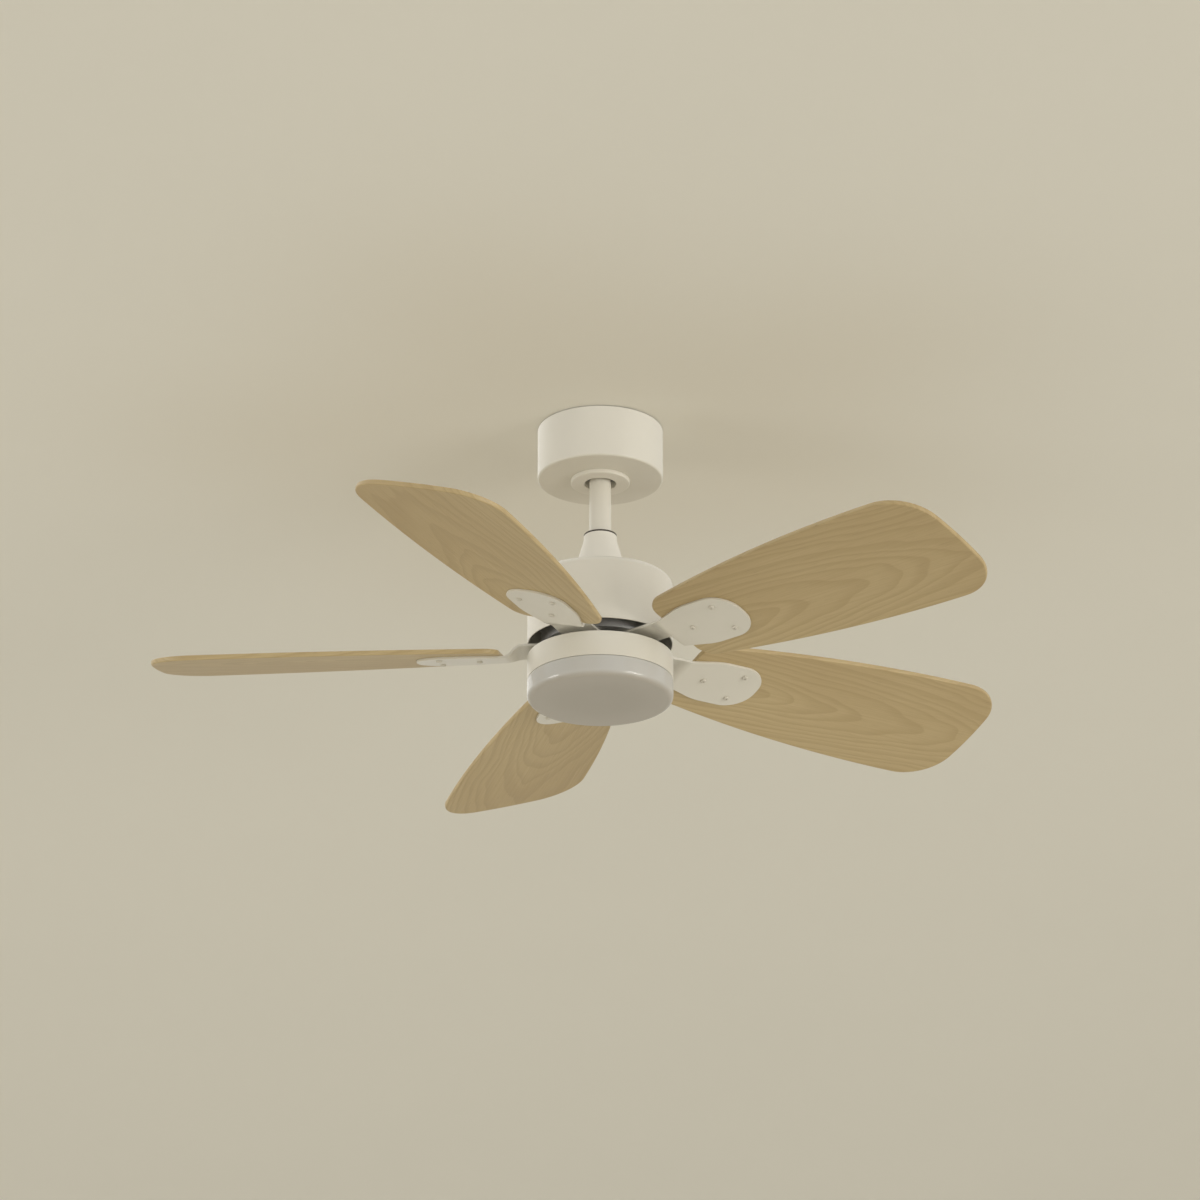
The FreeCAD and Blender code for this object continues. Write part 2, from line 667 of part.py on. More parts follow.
# Hanger ball: cut flat above and below, bored for the rod, slotted for its pin and keyed.
ball = start_body("hanger_ball")
whole = ball.newObject("PartDesign::AdditiveSphere", "whole_ball")
whole.AttachmentSupport = (origin(ball, "XY_Plane"), [""])
whole.MapMode = "FlatFace"
bind_offset(whole, ("0", "0", "ball_z"), (0, 0, 1), "0")
whole.setExpression("Radius", cells("ball_r"))
doc.recompute()
top_cut = rounds(ball, "top_outline", "XY_Plane", ("0", "0", "ball_r + overrun"),
                 base=("0", "0", "ball_z + ball_top"))
extrude(ball, "top_flat", top_cut, "ball_r", back=True, cut=True)
bottom_cut = rounds(ball, "bottom_outline", "XY_Plane", ("0", "0", "ball_r + overrun"),
                    base=("0", "0", "ball_z - ball_bottom"))
extrude(ball, "bottom_flat", bottom_cut, "ball_r", cut=True)
rod_bore = rounds(ball, "rod_bore_outline", "XY_Plane", ("0", "0", "rod_r + fit_gap"),
                  base=("0", "0", "ball_z"))
cut_across(ball, "rod_bore", rod_bore, "2 * ball_dia")
pin_slot = outline(ball, "pin_slot_outline", "YZ_Plane",
                   box_loop("-pin_hole_r", "pin_hole_r", "pin_z", "ball_z + ball_r + overrun"))
cut_across(ball, "pin_slot", pin_slot, "2 * ball_dia")
pin_seat = rounds(ball, "pin_seat_outline", "YZ_Plane", ("0", "pin_z", "pin_hole_r"))
cut_across(ball, "pin_seat", pin_seat, "2 * ball_dia")
key_groove = rounds(ball, "key_groove_outline", "YZ_Plane",
                    ("0", "ball_z", "groove_r"), ("0", "ball_z", "ball_r + overrun"))
cut_across(ball, "key_groove", key_groove, "key_width + 4 * seat_gap")

cross_pin = doc.addObject("Part::Cylinder", "cross_pin")
cross_pin.Placement = Placement(Vector(), Rotation(Vector(0, 1, 0), 90))
cross_pin.setExpression("Radius", cells("pin_dia / 2"))
cross_pin.setExpression("Height", cells("pin_length"))
cross_pin.setExpression("Placement.Base.x", cells("-pin_length / 2"))
cross_pin.setExpression("Placement.Base.z", cells("pin_z"))
nodes.append(cross_pin)

# The rod is a tube with a cross hole near each end.
rod = start_body("downrod")
tube = rounds(rod, "tube_outline", "XY_Plane", ("0", "0", "rod_r"), ("0", "0", "rod_r - rod_wall"),
              base=("0", "0", "rod_top_z"))
extrude(rod, "tube", tube, "rod_length", back=True)
rod_holes = rounds(rod, "hole_outline", "YZ_Plane", ("0", "pin_z", "pin_hole_r"),
                   ("0", "clevis_z", "pin_hole_r"))
cut_across(rod, "pin_holes", rod_holes, "2 * rod_dia")

# Yoke: a socket for the rod above, a flange under the motor drum and a bore for the shaft.
yoke = start_body("rod_yoke")
turned(yoke, "casting", [
    ("rod_r + fit_gap", "yoke_top_z"), ("yoke_r", "yoke_top_z"), ("yoke_r", "housing_in_z"),
    ("yoke_flange_r", "housing_in_z"), ("yoke_flange_r", "flange_z"),
    ("shaft_r + fit_gap", "flange_z"), ("shaft_r + fit_gap", "shaft_top_z"),
    ("shaft_bore_dia / 2", "shaft_top_z"), ("shaft_bore_dia / 2", "rod_end_z"),
    ("rod_r + fit_gap", "rod_end_z")])
clevis_hole = rounds(yoke, "clevis_hole_outline", "YZ_Plane", ("0", "clevis_z", "pin_hole_r"))
cut_across(yoke, "clevis_hole", clevis_hole, "3 * rod_dia")
set_holes = rounds(yoke, "set_hole_outline", "XZ_Plane",
                   ("0", "set_screw_z", "set_screw_dia / 2 + fit_gap"))
cut_across(yoke, "set_holes", set_holes, "3 * rod_dia")
housing_hole = rounds(yoke, "housing_hole_outline", "XY_Plane", ("housing_screw_r", "0", "clear_r"),
                      base=("0", "0", "flange_z"))
flange_hole = cut_across(yoke, "flange_hole", housing_hole, "2 * yoke_flange + overrun")
ring_pattern(yoke, "flange_holes", [flange_hole], "housing_screw_count")

clevis = start_body("clevis_pin")
clevis_section = outline(
    clevis, "clevis_section", "XY_Plane",
    [("-yoke_r - clevis_head", "0"), ("clevis_end_x", "0"), ("clevis_end_x", "pin_dia / 2"),
     ("-yoke_r", "pin_dia / 2"), ("-yoke_r", "pin_dia / 2 + clevis_head"),
     ("-yoke_r - clevis_head", "pin_dia / 2 + clevis_head")], base=("0", "0", "clevis_z"))
turn(clevis, "pin", clevis_section, axis_name="H_Axis")
cotter_hole = rounds(clevis, "cotter_hole_outline", "XZ_Plane",
                     ("cotter_x", "clevis_z", "cotter_dia / 2 + fit_gap"))
cut_across(clevis, "cotter_hole", cotter_hole, "2 * pin_dia")

cotter = start_body("cotter_pin")
leg = rounds(cotter, "leg_outline", "XZ_Plane", ("cotter_x", "clevis_z", "cotter_dia / 2"))
extrude(cotter, "leg", leg, "cotter_leg", side="Symmetric")
eye_middle_y = "-cotter_leg / 2 - cotter_eye_dia / 2"
eye_wire = rounds(cotter, "eye_wire_outline", "XY_Plane", ("0", "cotter_eye_dia / 2", "cotter_dia / 2"),
                  base=("cotter_x", eye_middle_y, "clevis_z"))
turn(cotter, "eye", eye_wire, axis_name="H_Axis")

set_screws = start_body("yoke_set_screws")
set_screw = rounds(set_screws, "set_screw_outline", "XZ_Plane", ("0", "set_screw_z", "set_screw_dia / 2"),
                   base=("0", "0", "rod_r + fit_gap"))
first_screw = extrude(set_screws, "set_screw", set_screw, "yoke_wall + set_screw_proud")
ring_pattern(set_screws, "both_screws", [first_screw], "2")

# Flared cover over the yoke, with a dark seal where the rod enters.
cover = start_body("coupling_cover")
foot_band_z = "housing_top_z + cover_foot_band"
neck_z = "cover_top_z - cover_neck"
turned(cover, "shell", [
    ("cover_foot_r", "housing_top_z"), ("cover_foot_r", foot_band_z), ("cover_top_r", neck_z),
    ("cover_top_r", "cover_top_z"), ("rod_r + seal_gap", "cover_top_z"),
    ("rod_r + seal_gap", "cover_top_z - cover_wall"),
    ("cover_top_r - cover_wall", "cover_top_z - cover_wall"),
    ("cover_top_r - cover_wall", neck_z), ("cover_foot_r - cover_wall", foot_band_z),
    ("cover_foot_r - cover_wall", "housing_top_z")])

seal = start_body("cover_seal")
turned(seal, "seal_ring", [
    ("rod_r + seal_gap", "cover_top_z"), ("cover_top_r", "cover_top_z"),
    ("cover_top_r", "cover_top_z + seal_height"), ("rod_r + seal_gap", "cover_top_z + seal_height")])

# Motor drum: a cup over the rotor, vented on top and screwed to the yoke's flange.
housing = start_body("motor_housing")
turned(housing, "drum", [
    ("yoke_r + fit_gap", "housing_in_z"), ("drum_in_r", "housing_in_z"),
    ("drum_in_r", "housing_bottom_z"), ("drum_r", "housing_bottom_z"), ("drum_r", "housing_top_z"),
    ("yoke_r + fit_gap", "housing_top_z")])
soften(housing, "outer_edge", "drum_edge", on_circle("drum_r", "housing_top_z"))
soften(housing, "inner_edge", "drum_edge - drum_wall", on_circle("drum_in_r", "housing_in_z"))
drum_hole = rounds(housing, "screw_hole_outline", "XY_Plane", ("housing_screw_r", "0", "clear_r"),
                   base=("0", "0", "housing_top_z"))
drum_screw_hole = cut_across(housing, "screw_hole", drum_hole, "2 * drum_wall + overrun")
ring_pattern(housing, "screw_holes", [drum_screw_hole], "housing_screw_count")
vent_outline = outline(housing, "vent_outline", "XY_Plane",
                       box_loop("vent_in_r", "vent_out_r", "-vent_width / 2", "vent_width / 2"),
                       base=("0", "0", "housing_top_z"))
vent = cut_across(housing, "vent", vent_outline, "2 * drum_wall + overrun")
ring_pattern(housing, "vents", [vent], "vent_count")

housing_screws = start_body("housing_screws")
housing_screw = screw(housing_screws, "housing_screw", ("housing_screw_r", "0", "housing_top_z"),
                      "screw_head_dia / 2", "screw_head", "screw_dia / 2", "drum_wall + yoke_flange",
                      upward=False)
ring_pattern(housing_screws, "all_screws", [housing_screw], "housing_screw_count")

# Hollow shaft, stepped for the light's plate and nut.
shaft = start_body("motor_shaft")
turned(shaft, "spindle", [
    ("shaft_bore_dia / 2", "shaft_top_z"), ("shaft_r", "shaft_top_z"), ("shaft_r", "light_plate_z"),
    ("shaft_end_r", "light_plate_z"), ("shaft_end_r", "shaft_end_z"),
    ("shaft_bore_dia / 2", "shaft_end_z")])

# Bearings: races on the shaft, races in the rotor and balls between them.
half_width = "bearing_width / 2"
half_space = "bearing_ring_gap / 2"


def race_pair(label, inner, outer):
    """The upper and lower race of one side, grooved for the balls."""
    body = start_body(label)
    loops = [box_loop(inner, outer, f"{middle} - {half_width}", f"{middle} + {half_width}")
             for middle in ("upper_bearing_z", "lower_bearing_z")]
    turned(body, "races", *loops)
    grooves = rounds(body, "groove_section", "XZ_Plane",
                     ("race_r", "upper_bearing_z", "bearing_ball_dia / 2 + race_gap"),
                     ("race_r", "lower_bearing_z", "bearing_ball_dia / 2 + race_gap"))
    turn(body, "grooves", grooves, cut=True)


race_pair("bearing_inner_rings", "shaft_r + race_gap", f"race_r - {half_space}")
race_pair("bearing_outer_rings", f"race_r + {half_space}", "bearing_dia / 2")

balls = start_body("bearing_balls")
row_starts = []
for row_name, middle in (("upper_ball", "upper_bearing_z"), ("lower_ball", "lower_bearing_z")):
    bearing_ball = balls.newObject("PartDesign::AdditiveSphere", row_name)
    bearing_ball.AttachmentSupport = (origin(balls, "XY_Plane"), [""])
    bearing_ball.MapMode = "FlatFace"
    bind_offset(bearing_ball, ("race_r", "0", middle), (0, 0, 1), "0")
    bearing_ball.setExpression("Radius", cells("bearing_ball_dia / 2"))
    doc.recompute()
    row_starts.append(bearing_ball)
ring_pattern(balls, "ball_rows", row_starts, "bearing_ball_count")

# Still core of the motor: a toothed stack with a coil round each tooth.
core = start_body("stator_core")
turned(core, "stack", [
    ("shaft_r + fit_gap", "split_z - core_height / 2"), ("core_r", "split_z - core_height / 2"),
    ("core_r", "split_z + core_height / 2"), ("shaft_r + fit_gap", "split_z + core_height / 2")])
hub_side = "core_hub_r * tan(half_tooth) - tooth_side"
shoe_side = "shoe_r * tan(half_tooth) - tooth_side"
half_mouth = "slot_mouth / 2"
slot_side = [("core_hub_r", hub_side), ("shoe_r", shoe_side), ("shoe_r", half_mouth),
             ("core_r + overrun", half_mouth)]
winding_slot = outline(core, "winding_slot_outline", "XY_Plane",
                       slot_side + [(x, f"-({y})") for x, y in reversed(slot_side)],
                       base=("0", "0", "split_z"))
tooth_gap = cut_across(core, "winding_slot", winding_slot, "core_height + overrun")
ring_pattern(core, "winding_slots", [tooth_gap], "tooth_count")

coils = start_body("stator_windings")
coil_in_y = "tooth_width / 2 + fit_gap"
coil_in_z = "core_height / 2 + fit_gap"
coil_section = outline(
    coils, "coil_section", "YZ_Plane",
    box_loop(f"-({coil_in_y} + coil_thick)", f"{coil_in_y} + coil_thick",
             f"split_z - ({coil_in_z} + coil_end)", f"split_z + {coil_in_z} + coil_end"),
    box_loop(f"-({coil_in_y})", coil_in_y, f"split_z - ({coil_in_z})", f"split_z + {coil_in_z}"),
    base=("0", "0", "core_hub_r + coil_thick"))
coil = extrude(coils, "coil", coil_section, "shoe_r - core_hub_r - 2 * coil_thick")
ring_pattern(coils, "all_coils", [coil], "tooth_count")
spin_body(coils, "half_tooth")

# Rotor shells: a bearing boss each, a bolted flange at the split, and holes for the iron screws.
upper_shell = start_body("rotor_top_shell")
turned(upper_shell, "shell", [
    ("bearing_lip_r", "rotor_top_z"), ("boss_r", "rotor_top_z"), ("boss_r", "shoulder_z"),
    ("rotor_r", "shoulder_z"), ("rotor_r", "split_z + rotor_flange_thick"),
    ("rotor_flange_r", "split_z + rotor_flange_thick"), ("rotor_flange_r", "split_z"),
    ("rotor_in_r", "split_z"), ("rotor_in_r", "shoulder_z - rotor_disc"),
    ("boss_r", "shoulder_z - rotor_disc"), ("boss_r", f"upper_bearing_z - {half_width}"),
    ("bearing_seat_r", f"upper_bearing_z - {half_width}"),
    ("bearing_seat_r", f"upper_bearing_z + {half_width}"),
    ("bearing_lip_r", f"upper_bearing_z + {half_width}")])

lower_shell = start_body("rotor_bottom_shell")
turned(lower_shell, "shell", [
    ("bearing_lip_r", "rotor_bottom_z"), ("rotor_r", "rotor_bottom_z"),
    ("rotor_r", "split_z - rotor_flange_thick"), ("rotor_flange_r", "split_z - rotor_flange_thick"),
    ("rotor_flange_r", "split_z"), ("rotor_in_r", "split_z"), ("rotor_in_r", "rotor_bottom_z + rotor_disc"),
    ("boss_r", "rotor_bottom_z + rotor_disc"), ("boss_r", f"lower_bearing_z + {half_width}"),
    ("bearing_seat_r", f"lower_bearing_z + {half_width}"),
    ("bearing_seat_r", f"lower_bearing_z - {half_width}"),
    ("bearing_lip_r", f"lower_bearing_z - {half_width}")])

for shell in (upper_shell, lower_shell):
    bolt_outline = rounds(shell, "flange_hole_outline", "XY_Plane", ("rotor_screw_r", "0", "clear_r"),
                          base=("0", "0", "split_z"))
    bolt_hole = cut_across(shell, "flange_hole", bolt_outline, "2 * rotor_flange_thick + overrun")
    ring_pattern(shell, "flange_holes", [bolt_hole], "rotor_screw_count")

iron_hole_outline = rounds(
    lower_shell, "iron_hole_outline", "XY_Plane",
    ("iron_screw_r", "iron_screw_spacing / 2", "clear_r"),
    ("iron_screw_r", "-iron_screw_spacing / 2", "clear_r"), base=("0", "0", "rotor_bottom_z"))
iron_hole = cut_across(lower_shell, "iron_hole", iron_hole_outline, "2 * rotor_disc + overrun")
ring_pattern(lower_shell, "iron_holes", [iron_hole], "blade_count")
for shell in (upper_shell, lower_shell):
    spin_body(shell, "first_blade_angle")

rotor_screws = start_body("rotor_screws")
rotor_screw = screw(rotor_screws, "rotor_screw", ("rotor_screw_r", "0", "split_z - rotor_flange_thick"),
                    "screw_head_dia / 2", "screw_head", "screw_dia / 2", "2 * rotor_flange_thick")
ring_pattern(rotor_screws, "all_screws", [rotor_screw], "rotor_screw_count")
spin_body(rotor_screws, "first_blade_angle")

magnets = start_body("rotor_magnets")
magnet_half = "core_height / 2 + magnet_over"
turned(magnets, "band", [
    ("magnet_in_r", f"split_z - ({magnet_half})"), ("magnet_r", f"split_z - ({magnet_half})"),
    ("magnet_r", f"split_z + {magnet_half}"), ("magnet_in_r", f"split_z + {magnet_half}")])
parting = outline(magnets, "parting_outline", "XY_Plane",
                  box_loop("core_r", "rotor_r", "-magnet_space / 2", "magnet_space / 2"),
                  base=("0", "0", "split_z"))
first_parting = cut_across(magnets, "parting", parting, f"2 * ({magnet_half}) + overrun")
ring_pattern(magnets, "partings", [first_parting], "magnet_count")

# Light: a plate and nut on the shaft, a round band, the board with its chips, and the diffuser.
light_plate = start_body("light_plate")
turned(light_plate, "disc", [
    ("shaft_end_r + fit_gap", "light_top_z"), ("light_plate_dia / 2", "light_top_z"),
    ("light_plate_dia / 2", "light_plate_z"), ("shaft_end_r + fit_gap", "light_plate_z")])

light_housing = start_body("light_housing")
turned(light_housing, "band", [
    ("shaft_end_r + fit_gap", "light_in_z"), ("drum_in_r", "light_in_z"), ("drum_in_r", "seam_z"),
    ("drum_r - seam_edge", "seam_z"), ("drum_r", "seam_z + seam_edge"), ("drum_r", "light_top_z"),
    ("shaft_end_r + fit_gap", "light_top_z")])
soften(light_housing, "top_edge", "drum_wall", on_circle("drum_r", "light_top_z"))
post_outline = rounds(light_housing, "post_outline", "XY_Plane", ("post_r", "0", "post_dia / 2"),
                      base=("0", "0", "light_in_z"))
post = extrude(light_housing, "post", post_outline, "post_length", back=True)
post_hole_outline = rounds(light_housing, "post_hole_outline", "XY_Plane",
                           ("post_r", "0", "small_clear_r"), base=("0", "0", "board_z"))
post_hole = extrude(light_housing, "post_hole", post_hole_outline, "small_bite + fit_gap",
                    back=True, cut=True)
ring_pattern(light_housing, "posts", [post, post_hole], "post_count")

for body in (light_plate, light_housing):
    hole_outline = rounds(body, "light_hole_outline", "XY_Plane", ("light_screw_r", "0", "clear_r"),
                          base=("0", "0", "light_top_z"))
    light_hole = cut_across(body, "light_hole", hole_outline, "2 * light_plate_thick + overrun")
    ring_pattern(body, "light_holes", [light_hole], "light_screw_count")

nut = start_body("shaft_nut")
flat = "nut_across / 2"
nut_outline = outline(nut, "nut_outline", "XY_Plane",
                      [("nut_corner", "0"), ("nut_corner / 2", flat), ("-nut_corner / 2", flat),
                       ("-nut_corner", "0"), ("-nut_corner / 2", f"-{flat}"),
                       ("nut_corner / 2", f"-{flat}")], base=("0", "0", "light_in_z"))
extrude(nut, "hexagon", nut_outline, "nut_height", back=True)
nut_bore = rounds(nut, "bore_outline", "XY_Plane", ("0", "0", "shaft_end_r + fit_gap"),
                  base=("0", "0", "light_in_z"))
cut_across(nut, "bore", nut_bore, "2 * nut_height + overrun")

light_screws = start_body("light_screws")
light_screw = screw(light_screws, "light_screw", ("light_screw_r", "0", "light_in_z"),
                    "screw_head_dia / 2", "screw_head", "screw_dia / 2", "drum_wall + light_plate_thick")
ring_pattern(light_screws, "all_screws", [light_screw], "light_screw_count")

driver = start_body("led_driver")
driver_outline = outline(driver, "driver_outline", "XY_Plane",
                         box_loop("-driver_length / 2", "driver_length / 2", "-driver_out_y",
                                  "-driver_in_y"), base=("0", "0", "light_in_z"))
extrude(driver, "case", driver_outline, "driver_height", back=True)
soften(driver, "case_edges", "driver_edge", along(Vector(0, 0, 1)))

board = start_body("led_board")
board_outline = rounds(board, "board_outline", "XY_Plane", ("0", "0", "board_r"),
                       base=("0", "0", "board_z"))
extrude(board, "disc", board_outline, "board_thick", back=True)
board_hole_outline = rounds(board, "hole_outline", "XY_Plane", ("post_r", "0", "small_clear_r"),
                            base=("0", "0", "board_z"))
board_hole = cut_across(board, "hole", board_hole_outline, "2 * board_thick + overrun")
ring_pattern(board, "holes", [board_hole], "post_count")

led_screws = start_body("led_screws")
led_screw = screw(led_screws, "led_screw", ("post_r", "0", "chip_z"), "small_head_dia / 2", "small_head",
                  "small_screw_dia / 2", "board_thick + small_bite")
ring_pattern(led_screws, "all_screws", [led_screw], "post_count")

chips = start_body("led_chips")
for ring_name in ("inner", "middle", "outer"):
    radius = f"board_r * chip_{ring_name}_share"
    chip_outline = outline(chips, ring_name + "_chip_outline", "XY_Plane",
                           box_loop(f"{radius} - chip_side / 2", f"{radius} + chip_side / 2",
                                    "-chip_side / 2", "chip_side / 2"), base=("0", "0", "chip_z"))
    chip = extrude(chips, ring_name + "_chip", chip_outline, "chip_thick", back=True)
    ring_pattern(chips, ring_name + "_chips", [chip], f"chip_{ring_name}_count")

diffuser = start_body("diffuser")
turned(diffuser, "cup", [
    ("0", "light_bottom_z"), ("drum_r", "light_bottom_z"), ("drum_r", "seam_z - seam_edge"),
    ("drum_r - seam_edge", "seam_z"), ("neck_r", "seam_z"), ("neck_r", "seam_z + diffuser_neck"),
    ("neck_r - diffuser_wall", "seam_z + diffuser_neck"),
    ("neck_r - diffuser_wall", "light_bottom_z + diffuser_wall"),
    ("0", "light_bottom_z + diffuser_wall")])
soften(diffuser, "outer_edge", "diffuser_edge", on_circle("drum_r", "light_bottom_z"))
soften(diffuser, "inner_edge", "diffuser_edge - diffuser_wall",
       on_circle("neck_r - diffuser_wall", "light_bottom_z + diffuser_wall"))

# Blade irons: a level foot under the rotor, a twisted neck, and a slanted tongue under the blade.
slant_up = Rotation(Vector(1, 0, 0), -number("blade_pitch")).multVec(Vector(0, 0, 1))
blade_screw_places = [("blade_screw_in", "0"), ("blade_screw_out", "blade_screw_spacing / 2"),
                      ("blade_screw_out", "-blade_screw_spacing / 2")]


def beyond(radius):
    """A test for points farther out along the blade than a radius."""
    return lambda point: point.x > number(radius)


def make_iron(label, angle):
    """One blade iron, turned to its angle."""
    body = start_body(label)
    half_foot = "iron_foot_width / 2"
    foot = outline(body, "foot_outline", "XY_Plane",
                   box_loop("iron_foot_r", "iron_twist_in", f"-{half_foot}", half_foot),
                   base=("0", "0", "iron_z"))
    extrude(body, "foot", foot, "iron_thick", side="Symmetric")
    half_root = "tongue_root_width / 2"
    half_width = "tongue_width / 2"
    tongue = outline(body, "tongue_outline", "XY_Plane", [
        ("iron_twist_out", f"-{half_root}"), ("tongue_shoulder", f"-{half_width}"),
        ("tongue_end", f"-{half_width}"), ("tongue_end", half_width), ("tongue_shoulder", half_width),
        ("iron_twist_out", half_root)], **slant_plane("0"))
    extrude(body, "tongue", tongue, "iron_thick", side="Symmetric")
    middle = "(tongue_shoulder + tongue_end) / 2"
    soften(body, "tongue_end_round", "tongue_round", along(slant_up, beyond(middle)))
    soften(body, "tongue_shoulder_rounds", "tongue_shoulder_round",
           along(slant_up, lambda point: near(point.x, number("tongue_shoulder"))))
    half_thick = "iron_thick / 2"
    neck_start = outline(body, "neck_start", "YZ_Plane",
                         box_loop(f"-{half_foot}", half_foot, f"-{half_thick}", half_thick),
                         base=("0", "iron_z", "iron_twist_in"))
    neck_end = outline(body, "neck_end", "YZ_Plane",
                       box_loop(f"-{half_root}", half_root, f"-{half_thick}", half_thick),
                       base=("0", "tongue_z", "iron_twist_out"), angle="-blade_pitch")
    neck = body.newObject("PartDesign::AdditiveLoft", "neck")
    neck.Profile = neck_start
    neck.Sections = [neck_end]
    neck.Ruled = True
    doc.recompute()
    foot_holes = rounds(body, "foot_hole_outline", "XY_Plane",
                        ("iron_screw_r", "iron_screw_spacing / 2", "clear_r"),
                        ("iron_screw_r", "-iron_screw_spacing / 2", "clear_r"),
                        base=("0", "0", "iron_z"))
    cut_across(body, "foot_holes", foot_holes, "iron_thick + overrun")
    tongue_holes = rounds(body, "tongue_hole_outline", "XY_Plane",
                          *[(x, y, "clear_r") for x, y in blade_screw_places], **slant_plane("0"))
    cut_across(body, "tongue_holes", tongue_holes, "iron_thick + overrun")
    spin_body(body, angle)


def make_blade(label, angle):
    """One blade: a slanted board that widens outwards, with a round tip on the sweep circle."""
    body = start_body(label)
    half_root = "blade_root_width / 2"
    half_tip = "blade_tip_width / 2"
    slant = slant_plane("blade_lift")
    plan = sketch_on(body, "plan", "XY_Plane", **slant)
    corners = [("blade_root_r", f"-{half_root}"), ("sweep_r + overrun", f"-{half_tip}"),
               ("sweep_r + overrun", half_tip), ("blade_root_r", half_root)]
    sides = [bowed_side(plan, *corners[:2], "blade_bow"), bowed_side(plan, *corners[2:], "blade_bow")]
    for side, other in (sides, reversed(sides)):
        ends = plan.getPoint(side, 2), plan.getPoint(other, 1)
        cross = plan.addGeometry(Part.LineSegment(*ends))
        plan.addConstraint(Sketcher.Constraint("Coincident", cross, 1, side, 2))
        plan.addConstraint(Sketcher.Constraint("Coincident", cross, 2, other, 1))
    extrude(body, "board", plan, "blade_thick")
    sweep = rounds(body, "sweep_outline", "XY_Plane", ("0", "0", "sweep_r"),
                   ("0", "0", "sweep_r + blade_tip_width"), **slant)
    cut_across(body, "tip_cut", sweep, "2 * blade_thick + overrun")
    soften(body, "root_corners", "blade_root_round",
           along(slant_up, lambda point: near(point.x, number("blade_root_r"))))
    soften(body, "tip_corners", "blade_tip_round",
           along(slant_up, beyond("(blade_root_r + sweep_r) / 2")))
    faces = body.Tip.Shape.Faces
    flats = [face for face in faces if near(abs(face.normalAt(0, 0).dot(slant_up)), 1)]
    rims = [edge for face in flats for edge in face.Edges]
    soften(body, "round_edges", "blade_edge", lambda edge: any(edge.isSame(rim) for rim in rims))
    pilots = rounds(body, "pilot_outline", "XY_Plane",
                    *[(x, y, "clear_r") for x, y in blade_screw_places], **slant)
    extrude(body, "pilots", pilots, "blade_screw_depth + fit_gap", back=True, cut=True)
    spin_body(body, angle)


for place in range(SIZES["blade_count"]):
    blade_angle = f"first_blade_angle + {place} * 360 / blade_count"
    make_iron(f"blade_iron_{place + 1}", blade_angle)
    make_blade(f"blade_{place + 1}", blade_angle)

iron_screws = start_body("iron_screws")
pair = [screw(iron_screws, side + "_screw",
              ("iron_screw_r", f"{sign}iron_screw_spacing / 2", "rotor_bottom_z - iron_thick"),
              "screw_head_dia / 2", "screw_head", "screw_dia / 2", "iron_thick + rotor_disc")
        for side, sign in (("far", ""), ("close", "-"))]
ring_pattern(iron_screws, "all_screws", pair, "blade_count")
spin_body(iron_screws, "first_blade_angle")

blade_screws = start_body("blade_screws")
trio = []
for index, (x, chord) in enumerate(blade_screw_places, start=1):
    y, z = pitched(chord, "-iron_thick / 2")
    trio.append(screw(blade_screws, f"blade_screw_{index}", (x, y, z), "screw_head_dia / 2", "screw_head",
                      "screw_dia / 2", "iron_thick + blade_screw_depth", tilt="-blade_pitch"))
ring_pattern(blade_screws, "all_screws", trio, "blade_count")
spin_body(blade_screws, "first_blade_angle")

doc.recompute()
for item in doc.Objects:
    if "Invalid" in item.State or "Error" in item.State:
        raise RuntimeError(f"{item.Label} did not build")
os.makedirs("parts", exist_ok=True)
for node in nodes:
    if node.Shape.isNull() or not node.Shape.isValid():
        raise RuntimeError(f"{node.Label} has no sound shape")
    node.Shape.exportStep(f"parts/{node.Label}.step")
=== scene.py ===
# %% [markdown]
# # A ceiling fan with wooden blades and a round light
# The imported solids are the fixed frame. The scene is in metres, with the ceiling at z = 0 and the fan
# hanging down along the line x = y = 0. Only the sections of turned pieces are written in millimetres.
# The outer shells, blades, irons and blade screws are modelled again with finer edges. The pieces
# inside keep their solids and only get a finish.

# %% Load the frame
import json
import math

import bmesh
import bpy
from mathutils import Matrix, Vector

